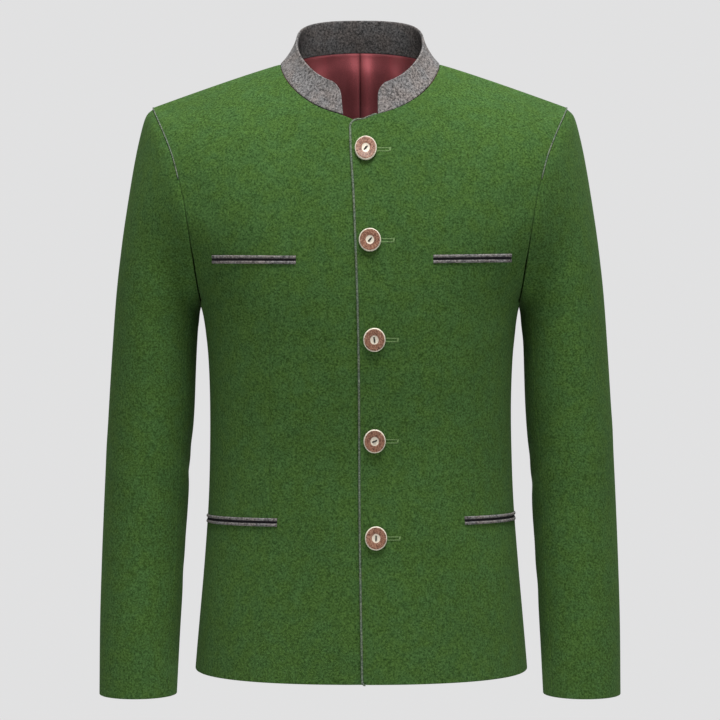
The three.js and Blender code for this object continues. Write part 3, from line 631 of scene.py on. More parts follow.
# Sleeves.
# Two-piece set-in sleeves of loden, a wide top sleeve and a narrow under sleeve, joined by a
# front and a back seam. They hang open, a little bent at the elbow.
SLEEVE = table(
    "run inX inZ outX outZ mid deep",
    (0, 177.5, -270, 234, -49, 0.5, 71),
    (1, 179.3, -272, 242.6, -59, 0.8, 71),
    (2, 180.1, -274.5, 249.9, -86, 1.2, 70.5),
    (3, 180.7, -277, 256.3, -119, 1.7, 70),
    (4, 181.2, -280, 262.8, -160, 2.3, 69),
    (5, 181.7, -284, 269.4, -208, 3, 68),
    (6, 182.4, -292, 275, -258, 4, 66.5),
    (7, 184.8, -322, 279.6, -318, 5.5, 65),
    (8, 187.4, -384, 283.9, -384, 7.5, 63),
    (9, 191, -438, 286.9, -438, 8, 61),
    (10, 194.5, -492, 289.2, -492, 5.5, 58.5),
    (11, 197.8, -560, 291.2, -560, -1.5, 55),
    (12, 201.8, -628, 292.2, -628, -11, 51),
    (13, 205.2, -707.5, 291.6, -707.5, -23, 46.5),
)
CAP_RUNS = 5
SLEEVE_GAP = 0.2
SLEEVE_SLOPE = np.array([0.97, 0, -0.24])
FRONT_SLEEVE_SEAM = 144
BACK_SLEEVE_SEAM = 270
LAST_RUN = SLEEVE[-1]["run"]
SLEEVE_ROWS = dict(upper=0.1, elbow=7, lower=0.08)
SLEEVE_PITCH = 3.2
SLEEVE_GAP_RUN = 0.3
FOLD_SLANT = 0.012


def armhole_spot(turn):
    """Point and normal of the left armhole seam: turn 0 is the shoulder tip, 90 the front."""
    level = UNDERARM + (SHOULDER_TIP - UNDERARM) * (1 + np.cos(turn)) / 2
    body_turn = np.where(np.sin(turn) < 0, end_turn(level, True), end_turn(level))
    return body_point(level, body_turn), body_normal(level, body_turn)


def sleeve_oval(section, turn):
    across = (1 + np.cos(turn)) / 2
    x = section["inX"] + (section["outX"] - section["inX"]) * across
    z = section["inZ"] + (section["outZ"] - section["inZ"]) * across
    return np.stack([x, section["mid"] - section["deep"] * np.sin(turn), z], axis=-1)


def sleeve_point(run, turn):
    """Point of the left sleeve: turn 0 is the outer side, 90 degrees the front, 180 the inner."""
    run, turn = np.broadcast_arrays(np.asarray(run, float), np.asarray(turn, float))
    section = {c: read_table(SLEEVE, "run", c, run) for c in SLEEVE[0] if c != "run"}
    hold = (1 - ease(run / CAP_RUNS))[..., None]
    to_seam = armhole_spot(turn)[0] - sleeve_oval(SLEEVE[0], turn)
    return sleeve_oval(section, turn) + to_seam * hold


def sleeve_normal(run, turn):
    below, above = np.minimum(LAST_RUN, run + 0.1), np.maximum(0, run - 0.1)
    down = sleeve_point(below, turn) - sleeve_point(above, turn)
    around = sleeve_point(run, turn + 0.03) - sleeve_point(run, turn - 0.03)
    return unit(np.cross(around, down))


# Each fold: run where it lies, turn of its middle, spread in degrees, height, width in runs.
SLEEVE_FOLDS = {
    1: [
        (8.7, 150, 60, -1.6, 0.28),
        (9.5, 170, 70, -1.8, 0.26),
        (10.2, 140, 55, -1.3, 0.30),
        (9.1, 60, 55, 1.0, 0.35),
        (6.4, 120, 50, -1.2, 0.40),
        (11.6, 200, 60, -1.1, 0.30),
        (9.2, 262, 50, 1.3, 0.40),
        (7.4, 240, 55, -1.2, 0.35),
    ],
    -1: [
        (8.5, 156, 60, -1.5, 0.30),
        (9.3, 176, 65, -1.7, 0.26),
        (10.0, 134, 60, -1.4, 0.28),
        (9.6, 66, 50, 1.0, 0.36),
        (6.6, 112, 50, -1.1, 0.42),
        (11.3, 196, 60, -1.2, 0.32),
        (9.4, 258, 50, 1.2, 0.42),
        (7.1, 246, 55, -1.1, 0.36),
    ],
}


def sleeve_piece(name, side, start, end):
    runs = np.concatenate([
        [0, 0.02, 0.05, 0.09, 0.14],
        np.arange(0.2, SLEEVE_ROWS["elbow"], SLEEVE_ROWS["upper"]),
        np.arange(SLEEVE_ROWS["elbow"], LAST_RUN - 0.06, SLEEVE_ROWS["lower"]),
        LAST_RUN - np.array([0.04, 0.024, 0.014, 0.008, 0.003, 0]),
    ])
    low, high = math.radians(start), math.radians(end)
    columns = []
    for run in runs:
        deep = read_table(SLEEVE, "run", "deep", run)
        close = NEAR_EDGE[:-1] / deep
        step = SLEEVE_PITCH / deep
        inside = np.linspace(low + step, high - step, int((end - start) / SLEEVE_PITCH))
        columns.append(np.concatenate([low + close, inside, high - close[::-1]]))
    turns = np.array(columns)
    rows = np.repeat(runs[:, None], turns.shape[1], axis=1)
    points = sleeve_point(rows, turns)
    normals = sleeve_normal(rows, turns)
    seam = armhole_spot(turns[0])[1]
    weight = ease((np.cos(turns[0]) + 0.2) / 0.8)[:, None]
    normals[0] = unit(normals[0] * (1 - weight) + seam * weight)
    near_seam = np.maximum(0, 1 - rows[..., None] / SLEEVE_GAP_RUN)
    points = points + SLEEVE_SLOPE * SLEEVE_GAP * near_seam
    lift = np.zeros(points.shape[:2])
    for run, turn, spread, depth, wide in SLEEVE_FOLDS[side]:
        away = (np.degrees(turns) - turn + 180) % 360 - 180
        along = (rows - run - FOLD_SLANT * away) / wide
        lift += depth * np.exp(-((away / spread) ** 2) - along**2)
    points = points * np.array([side, 1, 1])
    normals = normals * np.array([side, 1, 1])
    edges = dict(left="seam", right="seam", top="armhole", bottom="fold")
    piece = cloth_wall(f"{name}_cloth", points, normals, LODEN, edges, lift, loden)
    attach(piece, "root")
    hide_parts(name)


for word, side in (("left", 1), ("right", -1)):
    sleeve_piece(f"top_sleeve_{word}", side, BACK_SLEEVE_SEAM - 360, FRONT_SLEEVE_SEAM)
    sleeve_piece(f"under_sleeve_{word}", side, FRONT_SLEEVE_SEAM, BACK_SLEEVE_SEAM)

# Collar.
# A low stand collar of thick grey melange felt, sewn round the neckline. Its front ends are
# rounded and stand a little apart.
COLLAR_FELT = 3.0
COLLAR_TOP = dict(half=72.5, front=80, back=58, front_round=2, back_round=2.7)
COLLAR_TOP_EDGE = table(
    "y z",
    (-80, -34),
    (-60, -18),
    (-39, -1.5),
    (0, 25),
    (30, 43.5),
    (58, 57),
)
COLLAR_LEAN_POWER = 1.5
COLLAR_ENDS = dict(left_x=19.5, left_lean=0.07, right_x=18.5, right_lean=0.11)
COLLAR_CORNER = 13.0
COLLAR_SEAT = 0.7
COLLAR_COLUMNS = 130
COLLAR_NEAR = [0, 0.3, 0.8, 1.5, 2.5, 4, 6, 8.5, 11]
COLLAR_RISES = [[0, 0.02, 0.05], np.linspace(0.09, 0.91, 15), [0.94, 0.962, 0.978, 0.99, 1]]
FELT_GRAIN = 430


def collar_point(turn, rise):
    """Point of the collar: turn as on the body, rise 0 at the seam and 1 at the top edge."""
    seam = body_point(np.zeros_like(turn), turn)
    ahead = np.cos(turn) > 0
    power = 2 / np.where(ahead, COLLAR_TOP["front_round"], COLLAR_TOP["back_round"])
    x = COLLAR_TOP["half"] * np.sign(np.sin(turn)) * np.abs(np.sin(turn)) ** power
    y = np.where(ahead, -COLLAR_TOP["front"], COLLAR_TOP["back"]) * np.abs(np.cos(turn)) ** power
    z = read_table(COLLAR_TOP_EDGE, "y", "z", y)
    lean = 1 - (1 - rise) ** COLLAR_LEAN_POWER
    return np.stack([
        seam[..., 0] + (x - seam[..., 0]) * lean,
        seam[..., 1] + (y - seam[..., 1]) * lean,
        seam[..., 2] + (z - seam[..., 2]) * rise,
    ], axis=-1)


def collar_normal(turn, rise):
    above, below = np.minimum(1, rise + 0.05), np.maximum(0, rise - 0.05)
    up = collar_point(turn, above) - collar_point(turn, below)
    around = collar_point(turn + 0.02, rise) - collar_point(turn - 0.02, rise)
    return unit(np.cross(around, up))


FELT_COLOURS = dict(
    dark=(0.036, 0.034, 0.034),
    light=(0.32, 0.30, 0.29),
    warm=(1.05, 1.0, 0.98),
    cool=(0.97, 1.0, 1.03),
    fleck=(0.40, 0.35, 0.33),
)
# A darker copy of the felt for the collar's inner face: painted shade.
FELT_PAINTED_SHADE = dict(
    FELT_COLOURS, dark=(0.022, 0.021, 0.021), light=(0.17, 0.16, 0.155), fleck=(0.27, 0.24, 0.23)
)
FELT_SHEEN = (0.7, 0.68, 0.67)
felt = wool_material("grey_felt", FELT_COLOURS.values(), FELT_SHEEN, FELT_GRAIN, 0.4)
felt_with_painted_shade = wool_material("grey_felt_painted_shade", FELT_PAINTED_SHADE.values(), FELT_SHEEN, FELT_GRAIN, 0.4)

start = math.asin(COLLAR_ENDS["left_x"] / NECK_HALF)
end = 2 * math.pi - math.asin(COLLAR_ENDS["right_x"] / NECK_HALF)
close = np.array(COLLAR_NEAR) / NECK_HALF
corner = COLLAR_CORNER / NECK_HALF
middle = np.linspace(start + corner, end - corner, COLLAR_COLUMNS)
turns = np.concatenate([start + close, middle, end - close[::-1]])
foot, top = (collar_point(turns, np.full_like(turns, rise)) for rise in (0, 1))
height = np.linalg.norm(top - foot, axis=1)
from_end = np.minimum(turns - start, end - turns) * NECK_HALF
full = 1 - corner_inset(from_end, COLLAR_CORNER) / height
rise_grid = np.concatenate(COLLAR_RISES)[:, None] * full[None, :]
part = (turns - start) / (end - start)
lean = COLLAR_ENDS["left_lean"] * (1 - part) - COLLAR_ENDS["right_lean"] * part
turn_grid = turns[None, :] + rise_grid * lean[None, :]
normals = collar_normal(turn_grid, rise_grid)
points = collar_point(turn_grid, rise_grid) + np.array([0, 0, COLLAR_SEAT])
edges = dict(bottom="fold", left="fold", right="fold", top="seam")
piece = cloth_wall("collar_stand", points, normals, COLLAR_FELT, edges, 0, felt)
# The inner face takes the darker felt: painted shade.
piece.data.materials.append(felt_with_painted_shade)
half = (points.shape[0] - 1) * (points.shape[1] - 1)
kinds = np.zeros(len(piece.data.polygons), int)
kinds[half:2 * half] = 1
piece.data.polygons.foreach_set("material_index", kinds)
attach(piece, "root")
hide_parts("collar")

# Lining.
# Red satin behind the neck opening, in two halves with a seam down the middle of the back. It is
# sewn to the foot of the collar and hangs in soft folds. Its colour carries painted light: a
# painted highlight on the fold ridges and near the collar, and painted shade in the troughs,
# lower down and along the middle seam.
SATIN = 1.0
LINING_LEVEL = -248.9
LINING_TOP = -1.5
LINING_INSET = 4.0
LINING_GAP = 1.5
LINING_COLUMNS = (46,)
LINING_OVER = 0.05
LINING_TUCK = -1.7
LINING_SEAM = 1.2
LINING_SEAM_SINK = 1.1
LINING_RUNS = dict(tuck=16.0, folds=22.0, seam=8.0)
# Painted light and shade on the satin: overall strength, painted highlight on ridges and shade in
# troughs, painted shade lower down and along the middle seam.
LINING_PAINTED_LIGHT = dict(full=1.6, ridge=0.13, low=0.36, low_z=-62.0, run=80.0, seam=0.55)
LINING_CREASES = {
    1: [
        (9, 90, 9, -150, -4.0, 6),
        (47, 110, 40, -130, -4.4, 9),
        (74, 90, 66, -150, -2.0, 7),
    ],
    -1: [
        (-14, 90, 4, -110, -2.6, 6),
        (-62, 90, -34, -130, -4.6, 12),
    ],
}
SATIN_DARK = (0.36, 0.082, 0.094)
SATIN_LIGHT = (0.60, 0.150, 0.170)


def ramp(tree, factor, stops):
    """Colour ramp through stops of position and colour."""
    node = add_node(tree, "ShaderNodeValToRGB", {"Fac": factor})
    elements = node.color_ramp.elements
    for k in (0, -1):
        elements[k].position = stops[k][0]
        elements[k].color = (*stops[k][1], 1)
    for position, colour in stops[1:-1]:
        elements.new(position).color = (*colour, 1)
    return node.outputs["Color"]


satin, tree = new_material("red_satin", {
    "Roughness": 0.38,
    "Specular IOR Level": 0.6,
    "Sheen Weight": 0.35,
    "Sheen Tint": (0.95, 0.55, 0.55, 1),
})
place = add_node(tree, "ShaderNodeTexCoord", {}).outputs["Object"]
weave = add_node(tree, "ShaderNodeMapping", {"Vector": place, "Scale": (1400, 1400, 260)})
threads = noise(tree, weave.outputs["Vector"], 1, 2)
shade = ramp(tree, threads, [(0, SATIN_DARK), (1, SATIN_LIGHT)])
# The per-point painted light and shade multiplies the satin's colour.
painted_light_and_shade = add_node(tree, "ShaderNodeAttribute", {}, attribute_name="fall").outputs["Fac"]
shade = mix_colour(tree, 1, shade, painted_light_and_shade, "MULTIPLY")
dress_shader(tree, shade, threads, 0.12, 0.0003)

for word, side in (("left", 1), ("right", -1)):
    levels = body_levels()
    levels = levels[(levels < LINING_TOP) & (levels > LINING_LEVEL)]
    levels = np.concatenate([[0, 0], levels, [LINING_LEVEL]])
    turns = side * back_turns(levels, LINING_INSET, LINING_COLUMNS)
    rows = np.repeat(levels[:, None], turns.shape[1], axis=1)
    points, normals = body_point(rows, turns), body_normal(rows, turns)
    folds = crease_lift(points, LINING_CREASES[side])
    from_seam = np.abs(points[..., 0])
    seam = np.exp(-((from_seam / LINING_SEAM) ** 2))
    tuck, fall, sink = (ease(-rows / LINING_RUNS[part]) for part in ("tuck", "folds", "seam"))
    lift = LINING_TUCK + (-LODEN - LINING_GAP - LINING_TUCK) * tuck
    lift += folds * fall + LINING_SEAM_SINK * seam * sink
    points[0] = collar_point(turns[0], np.full(turns.shape[1], LINING_OVER))
    normals[0] = collar_normal(turns[0], LINING_OVER)
    edges = dict(left="seam", right="fold", top="fold", bottom="fold")
    piece = cloth_wall(f"lining_{word}_satin", points, normals, SATIN, edges, lift, satin)
    # Painted light and shade, stored on each point: brighter near the collar and on fold ridges,
    # darker lower down, in fold troughs and along the middle seam.
    up = ease((points[..., 2] - LINING_PAINTED_LIGHT["low_z"]) / LINING_PAINTED_LIGHT["run"])
    light = LINING_PAINTED_LIGHT["low"] + (1 - LINING_PAINTED_LIGHT["low"]) * up
    light *= LINING_PAINTED_LIGHT["full"] * np.exp(-LINING_PAINTED_LIGHT["ridge"] * folds)
    light *= 1 - LINING_PAINTED_LIGHT["seam"] * seam
    fall = piece.data.attributes.new("fall", "FLOAT", "POINT")
    fall.data.foreach_set("value", np.tile(light.ravel(), 2))
    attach(piece, "root")
    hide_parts(f"lining_{word}")

# Piping.
# Narrow folded strips of grey-green felt: one round the neck corner and down the lapping edge,
# and one in the upper part of each armhole seam, each caught between the two layers it edges.
ARM_PIPING = 0.75
ARM_PIPING_LIFT = 0.15
ARM_PIPING_TURNS = (-54, 68)
PIPING_END = 0.55
PIPING_SIDES = 12
PIPING_SHOWS = dict(edge=0.42, arm=0.31)
PIPING_COLOURS = dict(
    FELT_COLOURS, dark=(0.036, 0.058, 0.036), light=(0.215, 0.265, 0.19), fleck=(0.42, 0.45, 0.36)
)
piping_felt = wool_material("piping_felt", PIPING_COLOURS.values(), FELT_SHEEN, 600, 0.4)


def tube_faces(count, sides, first=0):
    """Faces of a closed tube of rings, whose points start at a number."""
    grid = np.arange(count * sides).reshape(count, sides) + first
    beside = np.roll(grid, -1, axis=1)
    faces = np.stack([grid[:-1], grid[1:], beside[1:], beside[:-1]], axis=-1)
    return faces.reshape(-1, 4).tolist() + [grid[0].tolist(), grid[-1][::-1].tolist()]


def piping_tube(name, path, tops, half_wide, half_high, node, shows):
    """Closed strip of oval section along a path, with the direction that is its top."""
    sides = PIPING_SIDES
    ahead = unit(np.gradient(path, axis=0))
    wide = unit(np.cross(ahead, tops))
    high = np.cross(wide, ahead)
    angles = (np.arange(sides) + 0.5) * 2 * np.pi / sides
    swell = np.ones((len(path), 1, 1))
    swell[[0, -1]] = PIPING_END
    rings = path[:, None] + swell * (
        wide[:, None] * (half_wide * np.cos(angles))[:, None]
        + high[:, None] * (half_high * np.sin(angles))[:, None]
    )
    piece = mesh_object(name, rings.reshape(-1, 3), tube_faces(len(path), sides), piping_felt)
    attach(piece, "root")
    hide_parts(node)


PIPING_START_X = 18.5
PIPING_BITE = 0.2
PIPING_POINTS = dict(neck=16, corner=12, edge=160, hem=6, arm=60)
PIPING_HEM_TURN = 72
corner_x = float(front_edge_x(NECK_Z)) + PIPING
spots = []
for x in np.linspace(PIPING_START_X, corner_x + NECK_CORNER, PIPING_POINTS["neck"]):
    z = float(body_point(0.0, turn_at_x(0.0, x))[2])
    spots.append((x, z, 0, 1))
for angle in np.linspace(0, math.pi / 2, PIPING_POINTS["corner"])[1:]:
    spots.append((
        corner_x + NECK_CORNER * (1 - math.sin(angle)),
        NECK_Z - NECK_CORNER * (1 - math.cos(angle)),
        -math.sin(angle),
        math.cos(angle),
    ))
down = np.linspace(NECK_Z - NECK_CORNER, FRONT_HEM + HEM_CORNER, PIPING_POINTS["edge"])
for z in down[1:]:
    spots.append((float(front_edge_x(z)) + PIPING, z, -1, 0))
for angle in np.linspace(0, math.radians(PIPING_HEM_TURN), PIPING_POINTS["hem"])[1:]:
    spots.append((
        float(front_edge_x(FRONT_HEM)) + PIPING + HEM_CORNER * (1 - math.cos(angle)),
        FRONT_HEM + HEM_CORNER * (1 - math.sin(angle)),
        -math.cos(angle),
        -math.sin(angle),
    ))
spots = np.array(spots)
level, turn = front_spot(spots[:, 0], spots[:, 1])
tops = body_normal(level, turn)
aside = np.stack([spots[:, 2], np.zeros(len(spots)), spots[:, 3]], axis=1)
aside = unit(aside - tops * np.sum(aside * tops, axis=1, keepdims=True))
path = body_point(level, turn) + tops * (LAP_LIFT - LODEN / 2 + SEAM_GAP / 2)
path = path + aside * (PIPING / 2 - PIPING_BITE)
half = (PIPING / 2, LODEN / 2)
piping_tube("edge_piping_felt", path, tops, *half, "edge_piping", PIPING_SHOWS["edge"])

for word, side in (("left", 1), ("right", -1)):
    turn = np.radians(np.linspace(*ARM_PIPING_TURNS, PIPING_POINTS["arm"]))
    spot, normal = armhole_spot(turn)
    tops = unit(normal + sleeve_normal(np.zeros_like(turn), turn))
    path = (spot + tops * ARM_PIPING_LIFT) * np.array([side, 1, 1])
    tops = tops * np.array([side, 1, 1])
    node = f"arm_piping_{word}"
    piping_tube(f"{node}_felt", path, tops, ARM_PIPING, ARM_PIPING, node, PIPING_SHOWS["arm"])

# Pockets.
# Double-lip pockets in the grey felt of the collar: two on the chest and two below the waist,
# which run round to the side seams. A near-black strip between the two lips is painted shade in
# the slit.
LIP_HEIGHT = 3.2
LIP_THICK = 1.3
LIP_CROWN = 0.4
SLOT_HALF = 1.3
LOWER_POCKET_STOP = 7.0
SLOT_OVERLAP = 0.3
SLOT_RAISED = (0.2, 0.05)
LIP_EDGE = 0.3
LIP_ACROSS = np.array([0, 0.06, 0.14, 0.26, 0.42, 0.58, 0.74, 0.86, 0.94, 1])
LIP_ALONG = np.array([0, 0.2, 0.5, 0.9, 1.4, 2.2])
LIP_ROUND = 3.2
LIP_ENDS = dict(run=1.6, side_run=24.0, side_low=0.25)
LIP_COLUMNS = 60
POCKET_SAMPLES = dict(side=200, line=160)
POCKETS = [
    dict(name="chest_pocket_right", side=-1, near_x=69, near_z=-226.2, far_x=161, far_z=-224.4),
    dict(name="chest_pocket_left", side=1, near_x=79, near_z=-225.2, far_x=165, far_z=-222.8),
    dict(name="lower_pocket_right", side=-1, near_x=90, near_z=-510.5, far_x=None, far_z=-511.3),
    dict(name="lower_pocket_left", side=1, near_x=114, near_z=-509, far_x=None, far_z=-508.4),
]
# Near-black strip between the lips: painted shade in the slit.
slot_painted_shade = {"Base Color": (0.012, 0.010, 0.014, 1), "Roughness": 0.95}
painted_shade_slot_strip = new_material("painted_shade_slot_strip", slot_painted_shade)[0]
for pocket in POCKETS:
    side = pocket["side"]
    near_turn = front_spot(np.float64(side * pocket["near_x"]), np.float64(pocket["near_z"]))[1]
    if pocket["far_x"] is None:
        samples = np.linspace(0, math.pi / 2, POCKET_SAMPLES["side"])
        length = run_along(body_point(pocket["far_z"], samples))
        far_turn = side * np.interp(length[-1] - LOWER_POCKET_STOP, length, samples)
    else:
        far_turn = front_spot(np.float64(side * pocket["far_x"]), np.float64(pocket["far_z"]))[1]
    samples = np.linspace(near_turn, far_turn, POCKET_SAMPLES["line"])
    length = run_along(body_point(pocket["near_z"], samples))
    ends, run = LIP_ALONG[:-1], LIP_ALONG[-1]
    inside = np.linspace(run, length[-1] - run, LIP_COLUMNS)
    goals = np.concatenate([ends, inside, length[-1] - ends[::-1]])
    turns = np.interp(goals, length, samples)
    height = np.interp(goals, length, np.linspace(pocket["near_z"], pocket["far_z"], len(samples)))
    line_x = body_point(level_at_turn(turns, height), turns)[:, 0]

    def pocket_spot(z):
        """Level and turn of the pocket's rows, square to its line where the front is flat."""
        if pocket["far_x"] is not None:
            return front_spot(np.repeat(line_x[None, :], len(z), axis=0), z)
        rows = np.repeat(turns[None, :], len(z), axis=0)
        return level_at_turn(rows, z), rows

    both, faces = [], []
    from_end = np.minimum(goals, length[-1] - goals)
    fade = np.minimum(1, np.sqrt(from_end / LIP_ENDS["run"]))
    for up in (1, -1):
        reach = up * (SLOT_HALF + LIP_HEIGHT * LIP_ACROSS)
        level, turn_grid = pocket_spot(height[None, :] + reach[:, None])
        normal = body_normal(level, turn_grid)
        base = body_point(level, turn_grid)
        if pocket["far_x"] is None:
            to_side = (length[-1] - goals) / LIP_ENDS["side_run"]
            fade = fade * np.minimum(1, LIP_ENDS["side_low"] + to_side)
        bulge = (1 - np.abs(2 * LIP_ACROSS - 1) ** LIP_ROUND)[:, None] * fade[None, :]
        rise = SEAM_GAP + LIP_EDGE + (LIP_THICK + LIP_CROWN - LIP_EDGE) * bulge
        outer = base + normal * rise[..., None]
        inner = base + normal * SEAM_GAP
        count = sum(len(part) for part in both)
        both += [outer.reshape(-1, 3), inner.reshape(-1, 3)]
        lip = wall_faces(*outer.shape[:2])
        if up < 0:
            lip = [face[::-1] for face in lip]
        faces += [[index + count for index in face] for face in lip]
    # The strip of painted shade in the slit, between the lips.
    slot_half = SLOT_HALF + SLOT_OVERLAP
    level, turn_grid = pocket_spot(height[None, :] + np.array([[slot_half], [0], [-slot_half]]))
    base, normal = body_point(level, turn_grid), body_normal(level, turn_grid)
    count = sum(len(part) for part in both)
    both += [(base + normal * raised).reshape(-1, 3) for raised in SLOT_RAISED]
    first_slot_face = len(faces)
    faces += [[index + count for index in face] for face in wall_faces(*base.shape[:2])]
    piece = mesh_object(f"{pocket['name']}_lips", np.concatenate(both), faces, felt)
    piece.data.materials.append(painted_shade_slot_strip)
    kinds = np.zeros(len(faces), int)
    kinds[first_slot_face:] = 1
    piece.data.polygons.foreach_set("material_index", kinds)
    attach(piece, "root")
    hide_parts(f"{pocket['name']}_upper_lip", f"{pocket['name']}_lower_lip")

# Buttons.
# Round staghorn buttons with a pale rim, a mottled brown ring and a dished white middle with
# two sewing holes. They are sewn to the right front and stay fastened through the lapping front.
BUTTON_HALF = 12.0
BUTTON_SEAT = 0.4
HOLE_RADIUS = 0.95
HOLE_SPACING = 4.2
BUTTONS = [
    dict(name="button_1", x=6.2, z=-105.5, turn=45, tall=1.2),
    dict(name="button_2", x=10.6, z=-205, turn=45, tall=1.06),
    dict(name="button_3", x=15.4, z=-312, turn=100, tall=1.08),
    dict(name="button_4", x=15.7, z=-421.5, turn=20, tall=1.08),
    dict(name="button_5", x=17.2, z=-526.7, turn=90, tall=1.08),
]
BUTTON_PROFILE = table(
    "r h",
    (0, 0),
    (8.6, 0),
    (10.6, 0.5),
    (11.5, 1.2),
    (12, 2.2),
    (11.9, 2.9),
    (11.5, 3.6),
    (10.9, 4.05),
    (10.2, 4.2),
    (9.4, 4.1),
    (7.4, 3.9),
    (5.4, 3.75),
    (4.7, 3.55),
    (4.2, 3.2),
    (2.4, 3.0),
    (0, 3.0),
)
WHITE, BLACK = (1, 1, 1), (0, 0, 0)
horn, tree = new_material("staghorn", {"Roughness": 0.42, "Specular IOR Level": 0.45})
place = add_node(tree, "ShaderNodeTexCoord", {}).outputs["Object"]
streak = noise(tree, place, 520, 5, Distortion=1.6)
bark = ramp(tree, streak, [
    (0.36, (0.080, 0.030, 0.018)),
    (0.5, (0.27, 0.115, 0.065)),
    (0.64, (0.45, 0.245, 0.165)),
])
pale = ramp(tree, noise(tree, place, 1500, 2), [(0, (0.70, 0.60, 0.44)), (1, (0.94, 0.88, 0.77))])
face_map = add_node(tree, "ShaderNodeUVMap", {}, uv_map="face").outputs["UV"]
away = add_node(tree, "ShaderNodeVectorMath", {0: face_map}, operation="LENGTH").outputs["Value"]
wobble = add_node(tree, "ShaderNodeMath", {0: streak, 1: 0.09, 2: away}, operation="MULTIPLY_ADD")
rings = [(0.40, BLACK), (0.44, WHITE), (0.935, WHITE), (0.97, BLACK)]
zones = ramp(tree, wobble.outputs["Value"], rings)
dress_shader(tree, mix_colour(tree, zones, pale, bark), streak, 0.35, 0.0004)


def button_frame(spec):
    """Centre and axes of a button: across, up and out of the cloth."""
    level, turn = front_spot(np.float64(spec["x"]), np.float64(spec["z"]))
    normal = body_normal(level, turn)
    across = unit(np.array([1.0, 0, 0]) - normal * normal[0])
    up = np.cross(normal, across)
    centre = body_point(level, turn) + normal * (LAP_LIFT + SEAM_GAP + BUTTON_SEAT)
    return centre, across, up, normal


def turned_disc(profile, segments):
    """Points and faces of a disc turned from its profile."""
    angles = np.arange(segments) * 2 * np.pi / segments
    points, faces = [(0, 0, profile[0]["h"])], []
    for row in profile[1:-1]:
        points += [(row["r"] * math.cos(a), row["r"] * math.sin(a), row["h"]) for a in angles]
    points.append((0, 0, profile[-1]["h"]))
    top = len(points) - 1
    for s in range(segments):
        t = (s + 1) % segments
        faces.append((0, 1 + t, 1 + s))
        for k in range(len(profile) - 3):
            a, b = 1 + k * segments, 1 + (k + 1) * segments
            faces.append((a + s, a + t, b + t, b + s))
        last = 1 + (len(profile) - 3) * segments
        faces.append((last + s, last + t, top))
    return np.array(points, float), faces


BUTTON_SIDES = 72
BUTTON_SHARP = 50
DRILL_SIDES = 20
DRILL_REACH = (-5, 9)


def made_plain(thing):
    """Plain mesh of an object with its modifiers applied."""
    bpy.context.view_layer.update()
    shown = thing.evaluated_get(bpy.context.evaluated_depsgraph_get())
    return bpy.data.meshes.new_from_object(shown)


for spec in BUTTONS:
    disc = mesh_object(f"{spec['name']}_disc", *turned_disc(BUTTON_PROFILE, BUTTON_SIDES), horn)
    drills = []
    angles = np.arange(DRILL_SIDES) * 2 * np.pi / DRILL_SIDES
    for across in (-HOLE_SPACING / 2, HOLE_SPACING / 2):
        x, y = across + HOLE_RADIUS * np.cos(angles), HOLE_RADIUS * np.sin(angles)
        ringed = np.concatenate([np.stack([x, y, np.full_like(x, h)], axis=1) for h in DRILL_REACH])
        drills.append(mesh_object("drill", ringed, tube_faces(2, DRILL_SIDES), horn))
    for drill in drills:
        cut = disc.modifiers.new("hole", "BOOLEAN")
        cut.operation = "DIFFERENCE"
        cut.solver = "EXACT"
        cut.object = drill
    drilled = made_plain(disc)
    for spare in [disc, *drills]:
        bpy.data.objects.remove(spare)
    local = np.empty(len(drilled.vertices) * 3)
    drilled.vertices.foreach_get("co", local)
    local = local.reshape(-1, 3) / MM
    uv = drilled.uv_layers.new(name="face")
    corner = np.empty(len(drilled.loops), int)
    drilled.loops.foreach_get("vertex_index", corner)
    uv.data.foreach_set("uv", (local[corner][:, :2] / BUTTON_HALF).ravel())
    centre, across, up, normal = button_frame(spec)
    spin = math.radians(spec["turn"])
    x = local[:, 0] * math.cos(spin) - local[:, 1] * math.sin(spin)
    y = (local[:, 0] * math.sin(spin) + local[:, 1] * math.cos(spin)) * spec["tall"]
    placed = centre + x[:, None] * across + y[:, None] * up + local[:, 2:] * normal
    drilled.vertices.foreach_set("co", (placed * MM).ravel())
    drilled.update()
    drilled.polygons.foreach_set("use_smooth", [True] * len(drilled.polygons))
    drilled.set_sharp_from_angle(angle=math.radians(BUTTON_SHARP))
    piece = add_object(f"{spec['name']}_horn", drilled)
    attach(piece, "root")
    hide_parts(spec["name"])

# Sewing thread and buttonholes.
# Each button hangs on strands of thread through its two holes. Each buttonhole is a slit edged
# with close stitches in a lighter green, with a bar across its far end.
THREAD_RADIUS = 0.32
THREAD_SIDES = 8
THREAD_STRANDS = (-0.55, 0, 0.55)
THREAD_POINTS = 17
THREAD_FOOT = 2.2
THREAD_ARCH = 1.65
THREAD_ROUND = 0.7
THREAD_GATHER = 0.4
BUTTONHOLE_END_X = [32.0, 35.7, 40.1, 40.1, 42.2]
BUTTONHOLE_HALF = 1.75
STITCH_PITCH = 0.55
STITCH_LENGTH = 1.5
STITCH_THICK = 0.5
STITCH_LEFT = 3.0
SLIT_LOW = 0.4
BAR_LENGTH = 5.2
BAR_LOW = 0.2
BAR_SLANT = 0.18
BAR_PLACES = np.arange(-0.1, 1.3, 0.45)
STITCH_RAISED = dict(bar=0.3, side=0.16)


def thread_material(name, low, high):
    """Twisted sewing thread with a soft sheen."""
    material, tree = new_material(name, {"Roughness": 0.6, "Sheen Weight": 0.2})
    place = add_node(tree, "ShaderNodeTexCoord", {}).outputs["Object"]
    twist = noise(tree, place, 1800, 2)
    colour = ramp(tree, twist, [(0.35, low), (0.65, high)])
    tree.links.new(colour, tree.nodes["Principled BSDF"].inputs["Base Color"])
    return material


light_thread = thread_material("light_green_thread", (0.10, 0.20, 0.05), (0.24, 0.38, 0.13))
dark_thread = thread_material("dark_thread", (0.012, 0.012, 0.008), (0.05, 0.045, 0.03))

